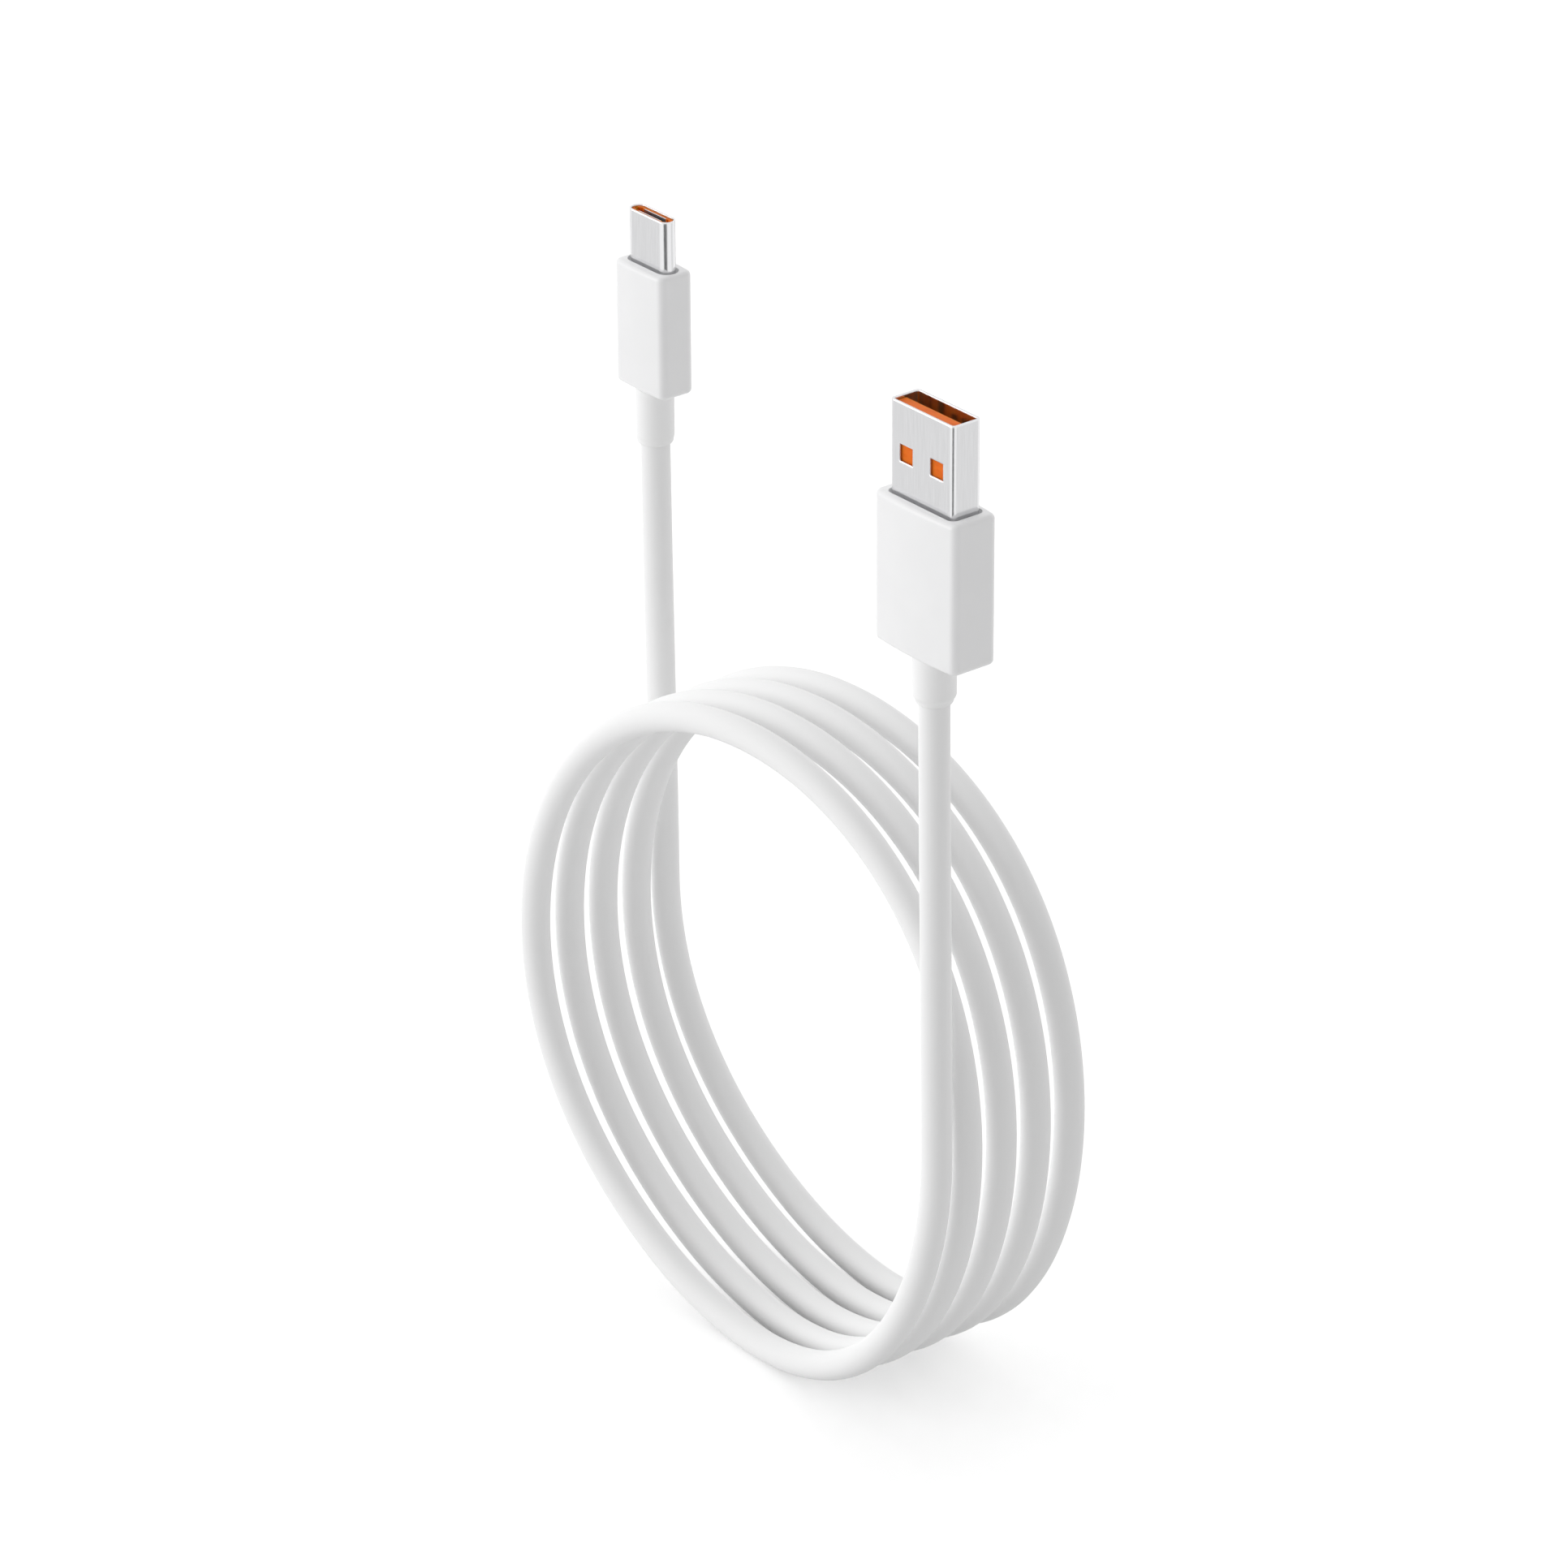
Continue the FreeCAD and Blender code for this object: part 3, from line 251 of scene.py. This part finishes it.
def dimmed(base, share):
    return tuple(value * share for value in base)


def moulded_plastic(name, base, grain, rough, edge):
    """Satin moulded plastic: faint clouding, fine grain, slow waves in the surface."""
    nodes = Finish(name)
    clouds = nodes.noise(6 * MM, 2.0)
    nodes.join(nodes.ramp(clouds, dimmed(base, 0.985), base), nodes.shader, "Base Color")
    fine = nodes.noise(grain, 4.0)
    nodes.join(nodes.spread(fine, rough - 0.05, rough + 0.07), nodes.shader, "Roughness")
    waves = nodes.noise(3 * MM, 1.0)
    nodes.bump(nodes.mixed(0.35, fine, waves), 0.006 * MM, edge)
    return nodes.material


def extruded_jacket(name, base, grain):
    """Soft extruded jacket: matte, with fine grain and faint long unevenness."""
    nodes = Finish(name)
    clouds = nodes.noise(9 * MM, 2.0)
    nodes.join(nodes.ramp(clouds, dimmed(base, 0.98), base), nodes.shader, "Base Color")
    fine = nodes.noise(0.7 * grain, 5.0)
    nodes.join(nodes.spread(fine, 0.42, 0.56), nodes.shader, "Roughness")
    uneven = nodes.noise(2.2 * MM, 2.0)
    nodes.bump(nodes.mixed(0.45, fine, uneven), 0.010 * MM)
    return nodes.material


def drawn_steel(name, base, rough, edge):
    """Bright plated sheet steel with fine draw lines along the plug."""
    nodes = Finish(name)
    lines = nodes.noise(0.12 * MM, 4.0, nodes.stretched(1.0, 1.0, 0.03))
    smears = nodes.noise(2.5 * MM, 3.0)
    nodes.join(nodes.ramp(lines, dimmed(base, 0.93), base, 0.3, 0.7), nodes.shader, "Base Color")
    both = nodes.mixed(0.4, lines, smears)
    nodes.join(nodes.spread(both, rough - 0.06, rough + 0.10), nodes.shader, "Roughness")
    nodes.set(Metallic=1.0)
    nodes.bump(lines, 0.0012 * MM, edge)
    return nodes.material


def coloured_insulator(name, base, shade):
    """Glass-filled engineering plastic: flow marks and fine fibre grain."""
    nodes = Finish(name)
    flow = nodes.noise(1.1 * MM, 4.0, nodes.stretched(0.6, 1.0, 1.6))
    nodes.join(nodes.ramp(flow, shade, base, 0.25, 0.55), nodes.shader, "Base Color")
    fibre = nodes.noise(0.06 * MM, 3.0)
    nodes.join(nodes.spread(fibre, 0.42, 0.58), nodes.shader, "Roughness")
    nodes.set(Specular_IOR_Level=0.12, Subsurface_Weight=0.5, Subsurface_Scale=1.5 * MM)
    nodes.shader.inputs["Subsurface Radius"].default_value = (1.0, 0.35, 0.1)
    nodes.bump(fibre, 0.004 * MM, 0.05 * MM)
    return nodes.material


def plated_metal(name, base, rough, grain):
    """Small plated or soldered metal with a fine crystalline surface."""
    nodes = Finish(name)
    crystals = nodes.noise(grain, 3.0)
    nodes.join(nodes.ramp(crystals, dimmed(base, 0.85), base), nodes.shader, "Base Color")
    nodes.join(nodes.spread(crystals, rough - 0.05, rough + 0.12), nodes.shader, "Roughness")
    nodes.set(Metallic=1.0)
    nodes.bump(crystals, 0.003 * MM)
    return nodes.material


def woven_braid(name, base):
    """Tinned braid: two sets of crossing ribbons as waves round and along the cord."""
    nodes = Finish(name)
    ribbons_per_metre = 900.0
    waves = []
    for lean in (1.0, -1.0):
        wave = nodes.add("ShaderNodeTexWave", bands_direction="DIAGONAL")
        wave.inputs["Scale"].default_value = ribbons_per_metre
        nodes.join(nodes.stretched(1.0, lean, 1.0), wave, "Vector")
        waves.append(wave.outputs["Fac"])
    weave = nodes.mixed(0.5, *waves)
    nodes.join(nodes.ramp(weave, dimmed(base, 0.6), base), nodes.shader, "Base Color")
    nodes.join(nodes.spread(weave, 0.45, 0.25), nodes.shader, "Roughness")
    nodes.set(Metallic=1.0)
    nodes.bump(weave, 0.03 * MM)
    return nodes.material


def lacquered_board(name, base):
    """Circuit board: glass weave showing through green lacquer."""
    nodes = Finish(name)
    strand = 0.35 * MM
    weave = nodes.add("ShaderNodeTexChecker")
    weave.inputs["Scale"].default_value = 1.0 / strand
    nodes.join(nodes.place, weave, "Vector")
    nodes.join(nodes.ramp(weave.outputs["Fac"], dimmed(base, 0.8), base, 0.0, 1.0),
               nodes.shader, "Base Color")
    fine = nodes.noise(0.1 * MM)
    nodes.join(nodes.spread(fine, 0.18, 0.30), nodes.shader, "Roughness")
    nodes.bump(weave.outputs["Fac"], 0.004 * MM)
    return nodes.material


def paint_frame(finish):
    """Gives every carried-over node the material of its slot."""
    grain = finish.grain
    finishes = {
        "case_white": (moulded_plastic, finish.case, grain, 0.36, 0.12 * MM),
        "inner_plastic": (moulded_plastic, (0.72, 0.72, 0.66), grain, 0.5, 0.1 * MM),
        "resistor_black": (moulded_plastic, (0.03, 0.03, 0.03), grain, 0.4, 0.03 * MM),
        "wire_red": (extruded_jacket, (0.60, 0.03, 0.02), grain),
        "wire_black": (extruded_jacket, (0.025, 0.025, 0.025), grain),
        "wire_pale": (extruded_jacket, (0.80, 0.80, 0.76), grain),
        "wire_green": (extruded_jacket, (0.03, 0.35, 0.06), grain),
        "jacket_white": (extruded_jacket, finish.jacket, grain),
        "plug_steel": (drawn_steel, finish.steel, 0.15, 0.32 * MM),
        "sheet_steel": (drawn_steel, dimmed(finish.steel, 0.85), 0.34, 0.05 * MM),
        "orange_plastic": (coloured_insulator, finish.orange, finish.orange_shade),
        "gold_contact": (plated_metal, finish.gold, 0.22, 0.05 * MM),
        "solder": (plated_metal, (0.68, 0.68, 0.70), 0.28, 0.12 * MM),
        "braid_metal": (woven_braid, (0.70, 0.66, 0.60)),
        "board_green": (lacquered_board, (0.01, 0.16, 0.05)),
    }
    made = {name: maker(name, *values) for name, (maker, *values) in finishes.items()}
    for entry in frame["record"]["subparts"]:
        node = frame["nodes"][entry["node"]]
        for place in node.material_slots:
            place.material = made[entry["material_slot"]]


def material(name):
    return bpy.data.materials[name]


# Cord

def steps_along(settings, turn):
    """Pitches gone by at this angle: the step builds up and dies down at the coil's ends."""
    end = 2 * math.pi * settings.turns
    ramp = 2 * math.pi * settings.ramp
    if turn < ramp:
        return turn ** 2 / (2 * ramp)
    if turn > end - ramp:
        return end - ramp - (end - turn) ** 2 / (2 * ramp)
    return turn - ramp / 2


def coil_points(settings):
    """Control points of the coil, each a little outside the line that the spline follows."""
    step = 2 * math.pi / settings.points_per_turn

    def held(times):
        """Share that the spline keeps of a wave with so many periods in a turn."""
        return 0.75 + 0.25 * math.cos(times * step)

    points = []
    for index in range(round(settings.turns * settings.points_per_turn)):
        turn = (index + 0.5) * step
        x = settings.half_width * (math.cos(turn) / held(1) - 1)
        y = settings.pitch * steps_along(settings, turn) / (2 * math.pi)
        fall = settings.half_height * math.sin(turn) / held(1)
        fall += settings.egg * math.sin(2 * turn) / held(2)
        fall += settings.square * math.sin(3 * turn) / held(3)
        fall += settings.lean * (1 - math.cos(3 * turn) / held(3))
        points.append(Vector((settings.shift + x, y, -settings.drop - fall)))
    return points


def cord_points(settings, start, end):
    """The whole route, from inside one strain relief to inside the other."""
    run = Vector((0, 0, settings.stretch_end))
    rise = Vector((0, 0, settings.half_height * math.tan(math.pi / settings.points_per_turn)))
    coil = coil_points(settings)
    near = Vector((settings.shift, 0, -settings.drop))
    far_side = settings.shift - 2 * settings.half_width
    far = Vector((far_side, end.y, -settings.drop - 2 * settings.lean))
    return [start, start - run, near + rise] + coil + [far + rise, end - run, end]


def relief_middles():
    """Middle of each strain relief, where its joint is."""
    joints = {joint["name"]: joint for joint in frame["joints"]}
    return (Vector(joints["usb_a_bend"]["pos_m"]), Vector(joints["usb_c_bend"]["pos_m"]))


def make_cord(settings):
    """One spline for the jacket and all that runs in it."""
    start, end = (middle - Vector((0, 0, settings.end_gap)) for middle in relief_middles())
    points = cord_points(settings, start, end)
    data = bpy.data.curves.new("cord", "CURVE")
    data.dimensions = "3D"
    data.resolution_u = 10
    data.bevel_depth = settings.diameter / 2
    data.bevel_resolution = 9
    data.use_fill_caps = True
    spline = data.splines.new("NURBS")
    spline.points.add(len(points) - 1)
    for place, point in zip(spline.points, points):
        place.co = (*point, 1.0)
    spline.order_u = 3
    spline.use_endpoint_u = True
    cord = bpy.data.objects.new("cord", data)
    bpy.context.collection.objects.link(cord)
    data.materials.append(material("jacket_white"))
    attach(cord, "cord")
    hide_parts(*[name for name in frame["nodes"] if name.startswith("cord_")])


# Strain reliefs

def relief_profile(settings, diameter, sleeve):
    """Radius and height below the overmould's foot, from the neck down and back up the bore."""
    radius = diameter / 2
    neck = radius - settings.neck_step
    mouth = settings.bore + settings.lip
    straight = sleeve - settings.taper
    shoulder = 0.02 * MM
    chamfer = 0.06 * MM
    rim = 0.35 * MM
    bore_edge = 0.05 * MM
    taper_rings = 12
    rim_rings = 6
    profile = [(neck, settings.neck_length), (neck, 0.3 * settings.neck_length), (neck, shoulder),
               (radius - chamfer, 0.0), (radius, -chamfer)]
    for index in range(1, settings.rings + 1):
        profile.append((radius, -chamfer - (straight - chamfer) * index / settings.rings))
    for index in range(1, taper_rings + 1):
        share = index / taper_rings
        eased = share * share * (3 - 2 * share)
        drawn_in = (radius - mouth - 0.3 * rim) * eased
        profile.append((radius - drawn_in, -straight - (settings.taper - rim) * share))
    for index in range(1, rim_rings + 1):
        swing = math.pi / 2 * index / rim_rings
        outward = mouth - 0.7 * rim + rim * math.cos(swing)
        profile.append((outward, -sleeve + rim - rim * math.sin(swing)))
    profile.append((settings.bore, -sleeve + bore_edge))
    bore_length = sleeve + settings.neck_length
    for index in range(1, settings.rings + 1):
        profile.append((settings.bore, -sleeve + bore_length * index / settings.rings))
    return profile


def make_relief(name, settings, centre, foot, diameter, sleeve, bodies):
    """Turned sleeve round the cord."""
    shape = bmesh.new()
    rings = []
    for radius, height in relief_profile(settings, diameter, sleeve):
        ring = []
        for index in range(settings.sides):
            swing = 2 * math.pi * index / settings.sides
            x = centre.x + radius * math.cos(swing)
            y = centre.y + radius * math.sin(swing)
            ring.append(shape.verts.new((x, y, foot + height)))
        rings.append(ring)
    for upper, lower in zip(rings, rings[1:] + rings[:1]):
        for index in range(settings.sides):
            after = (index + 1) % settings.sides
            shape.faces.new((upper[index], upper[after], lower[after], lower[index]))
    bmesh.ops.recalc_face_normals(shape, faces=shape.faces)
    for face in shape.faces:
        face.smooth = True
    mesh = bpy.data.meshes.new(name)
    shape.to_mesh(mesh)
    shape.free()
    mesh.materials.append(material("case_white"))
    sleeve_object = bpy.data.objects.new(name, mesh)
    bpy.context.collection.objects.link(sleeve_object)
    top = (centre.x, centre.y, foot)
    mouth = (centre.x, centre.y, foot - sleeve)
    if bodies[0] == "cord":
        top, mouth = mouth, top
    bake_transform(sleeve_object)
    return sleeve_object


def make_reliefs(settings):
    near, far = relief_middles()
    flat = make_relief("flat_plug_strain_relief", settings, near, settings.flat_foot,
                       settings.flat_diameter, settings.flat_length, ("usb_a_plug", "cord"))
    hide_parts("usb_a_strain_relief")
    oval = make_relief("oval_plug_strain_relief", settings, far, settings.oval_foot,
                       settings.oval_diameter, settings.oval_length, ("cord", "usb_c_plug"))
    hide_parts("usb_c_strain_relief")


# Stage

def make_camera(settings):
    turn = settings.turn
    level = math.cos(settings.rise)
    ahead = Vector((-math.sin(turn) * level, math.cos(turn) * level, -math.sin(settings.rise)))
    right = Vector((math.cos(turn), math.sin(turn), 0))
    up = right.cross(ahead)
    place = Vector((bpy.context.scene.cable_cord.shift, 0, 0))
    place += settings.across * right + settings.up * up - settings.distance * ahead
    data = bpy.data.cameras.new("camera")
    data.sensor_width = 36.0
    data.lens = settings.lens
    data.shift_x = settings.shift
    data.clip_start = 0.05
    data.clip_end = 20.0
    camera = bpy.data.objects.new("camera", data)
    bpy.context.collection.objects.link(camera)
    turned = Matrix((right, up, -ahead)).transposed().to_4x4()
    camera.matrix_world = Matrix.Translation(place) @ turned
    bpy.context.scene.camera = camera


def make_floor(settings, height):
    """White paper, which the steel doesn't mirror."""
    reach = 3.0
    outline = ((-reach, -reach), (reach, -reach), (reach, reach), (-reach, reach))
    mesh = bpy.data.meshes.new("floor")
    mesh.from_pydata([(x, y, height) for x, y in outline], [], [(0, 1, 2, 3)])
    nodes = Finish("floor_paper")
    fine = nodes.noise(2 * MM, 2.0)
    nodes.join(nodes.ramp(fine, (0.78, 0.78, 0.78), (0.80, 0.80, 0.80)), nodes.shader, "Base Color")
    nodes.set(Roughness=0.9)
    path = nodes.add("ShaderNodeLightPath")
    glow = nodes.add("ShaderNodeMath", operation="MULTIPLY")
    glow.inputs[1].default_value = settings.floor_glow
    nodes.join(path.outputs["Is Camera Ray"], glow, 0)
    nodes.set(Emission_Color=(1.0, 1.0, 1.0, 1.0))
    nodes.join(glow.outputs["Value"], nodes.shader, "Emission Strength")
    mesh.materials.append(nodes.material)
    floor = bpy.data.objects.new("floor", mesh)
    bpy.context.collection.objects.link(floor)
    floor.visible_glossy = False


def heading(degrees, fall=0.0):
    """Direction to the right of the plugs' front by so many degrees, and down by fall."""
    turn = math.radians(degrees)
    level = math.sqrt(1 - fall * fall)
    return (level * math.sin(turn), -level * math.cos(turn), -fall)


class Sky(Shader):
    """The nodes of the world round the object."""

    def __init__(self, world):
        world.use_nodes = True
        super().__init__(world.node_tree)
        self.tree.nodes.clear()
        self.look = self.add("ShaderNodeTexCoord").outputs["Generated"]
        self.path = self.add("ShaderNodeLightPath")

    def near(self, direction, start, end, low, high, look=None):
        """Strength that goes from low to high as the look comes nearer to the direction."""
        facing = self.add("ShaderNodeVectorMath", operation="DOT_PRODUCT")
        facing.inputs[1].default_value = direction
        self.join(look or self.look, facing, 0)
        node = self.add("ShaderNodeMapRange", interpolation_type="SMOOTHSTEP")
        node.inputs["From Min"].default_value = start
        node.inputs["From Max"].default_value = end
        node.inputs["To Min"].default_value = low
        node.inputs["To Max"].default_value = high
        self.join(facing.outputs["Value"], node, "Value")
        return node.outputs["Result"]

    def upright(self, direction, start, end, low, high):
        """As near, for a card that stands upright whatever the height of the look."""
        flat = self.add("ShaderNodeVectorMath", operation="MULTIPLY")
        flat.inputs[1].default_value = (1, 1, 0)
        self.join(self.look, flat, 0)
        level = self.add("ShaderNodeVectorMath", operation="NORMALIZE")
        self.join(flat.outputs["Vector"], level, 0)
        return self.near(direction, start, end, low, high, level.outputs["Vector"])

    def card(self, direction, start, end, shade):
        """Dimming by a dark card that stands below the object, where its steel edges look."""
        down = (0, 0, -1)
        covered = self.times(self.upright(direction, start, end, 0.0, 1.0),
                             self.near(down, 0.28, 0.32, 0.0, 1.0),
                             self.near(down, 0.45, 0.50, 1.0, 0.0))
        node = self.add("ShaderNodeMapRange")
        node.inputs["To Min"].default_value = 1.0
        node.inputs["To Max"].default_value = shade
        self.join(covered, node, "Value")
        return node.outputs["Result"]

    def times(self, *factors):
        """Product of all the factors."""
        result = factors[0]
        for factor in factors[1:]:
            node = self.add("ShaderNodeMath", operation="MULTIPLY")
            self.join(result, node, 0)
            self.join(factor, node, 1)
            result = node.outputs["Value"]
        return result

    def white(self, strength):
        """White light of a fixed or a worked out strength."""
        node = self.add("ShaderNodeBackground")
        node.inputs["Color"].default_value = (1, 1, 1, 1)
        if isinstance(strength, float):
            node.inputs["Strength"].default_value = strength
        else:
            self.join(strength, node, "Strength")
        return node.outputs["Background"]

    def choose(self, ray, other, seen):
        """What this kind of ray sees, and what the other kinds see."""
        node = self.add("ShaderNodeMixShader")
        self.join(self.path.outputs[ray], node, "Fac")
        self.join(other, node, 1)
        self.join(seen, node, 2)
        return node.outputs["Shader"]


def make_sky(settings):
    """Soft light from the left, white paper all round, and the studio's cards for the steel.

    The cards show only in reflections: two soft grey ones that the shells' flat sides see,
    and two dark ones low down that draw a dark line along each rounded edge.
    """
    world = bpy.data.worlds.new("studio")
    bpy.context.scene.world = world
    sky = Sky(world)
    turn = math.degrees(settings.turn)
    fall = math.sin(settings.rise)
    weak_side = (0.70, -0.36, 0.61)
    light = sky.near(weak_side, -0.45, 0.95, settings.light_left, settings.light_right)
    paper = 1.25
    broad_side_grey = sky.near(heading(-turn, fall), 0.955, 0.985, paper, 1.0)
    narrow_side_grey = sky.near(heading(180 - turn, fall), 0.955, 0.985, 1.0, 0.80)
    right_dark = sky.card(heading(41), 0.91, 0.965, 0.05)
    left_dark = sky.card(heading(-130), 0.88, 0.94, 0.10)
    cards = sky.times(broad_side_grey, narrow_side_grey, right_dark, left_dark)
    backdrop = 1.02
    shown = sky.choose("Is Glossy Ray", sky.white(light), sky.white(cards))
    shown = sky.choose("Is Camera Ray", shown, sky.white(backdrop))
    output = sky.add("ShaderNodeOutputWorld")
    sky.join(shown, output, "Surface")


def make_key_light(settings):
    data = bpy.data.lights.new("key", "SUN")
    data.energy = settings.key
    data.angle = math.radians(50)
    key = bpy.data.objects.new("key", data)
    bpy.context.collection.objects.link(key)
    towards = Vector((-0.50, -0.85, 0.20))
    key.rotation_mode = "QUATERNION"
    key.rotation_quaternion = towards.to_track_quat("Z", "Y")


# Operators and panel

class CABLE_OT_camera(bpy.types.Operator):
    """Puts the camera where the photograph was taken from"""

    bl_idname = "cable.camera"
    bl_label = "Camera"

    def execute(self, context):
        make_camera(context.scene.cable_view)
        return {"FINISHED"}


class CABLE_OT_finishes(bpy.types.Operator):
    """Makes the materials and gives them to the carried-over nodes"""

    bl_idname = "cable.finishes"
    bl_label = "Finishes"

    def execute(self, context):
        paint_frame(context.scene.cable_finish)
        return {"FINISHED"}


class CABLE_OT_cord(bpy.types.Operator):
    """Lays the cord from one strain relief through the coil to the other"""

    bl_idname = "cable.cord"
    bl_label = "Cord"

    def execute(self, context):
        make_cord(context.scene.cable_cord)
        return {"FINISHED"}


class CABLE_OT_reliefs(bpy.types.Operator):
    """Turns the two strain reliefs"""

    bl_idname = "cable.reliefs"
    bl_label = "Strain reliefs"

    def execute(self, context):
        make_reliefs(context.scene.cable_relief)
        return {"FINISHED"}


class CABLE_OT_stage(bpy.types.Operator):
    """Makes the floor, the sky and the key light"""

    bl_idname = "cable.stage"
    bl_label = "Stage"

    def execute(self, context):
        settings = context.scene.cable_view
        just_under = 0.05 * MM
        make_floor(settings, cad_box[0].z - just_under)
        make_sky(settings)
        make_key_light(settings)
        return {"FINISHED"}


class CABLE_PT_panel(bpy.types.Panel):
    """The cable's settings and steps"""

    bl_idname = "CABLE_PT_panel"
    bl_label = "Charging cable"
    bl_space_type = "VIEW_3D"
    bl_region_type = "UI"
    bl_category = "Cable"

    def draw(self, context):
        steps = (("cable_finish", "cable.finishes"), ("cable_view", "cable.camera"),
                 ("cable_cord", "cable.cord"), ("cable_relief", "cable.reliefs"),
                 ("cable_view", "cable.stage"))
        for group, operator in steps:
            box = self.layout.box()
            box.operator(operator)
            settings = getattr(context.scene, group)
            if operator != "cable.stage":
                for name in settings.__annotations__:
                    box.prop(settings, name)


CLASSES = (CableCordSettings, CableReliefSettings, CableViewSettings, CableFinishSettings,
           CABLE_OT_camera, CABLE_OT_finishes, CABLE_OT_cord, CABLE_OT_reliefs, CABLE_OT_stage,
           CABLE_PT_panel)


def register():
    for item in CLASSES:
        bpy.utils.register_class(item)
    bpy.types.Scene.cable_cord = PointerProperty(type=CableCordSettings)
    bpy.types.Scene.cable_relief = PointerProperty(type=CableReliefSettings)
    bpy.types.Scene.cable_view = PointerProperty(type=CableViewSettings)
    bpy.types.Scene.cable_finish = PointerProperty(type=CableFinishSettings)


def unregister():
    del bpy.types.Scene.cable_finish
    del bpy.types.Scene.cable_view
    del bpy.types.Scene.cable_relief
    del bpy.types.Scene.cable_cord
    for item in reversed(CLASSES):
        bpy.utils.unregister_class(item)


def main():
    register()
    bpy.context.scene.view_settings.view_transform = "Standard"
    bpy.ops.cable.finishes()
    bpy.ops.cable.camera()
    bpy.ops.cable.cord()
    bpy.ops.cable.reliefs()
    bpy.ops.cable.stage()


if __name__ == "__main__":
    main()
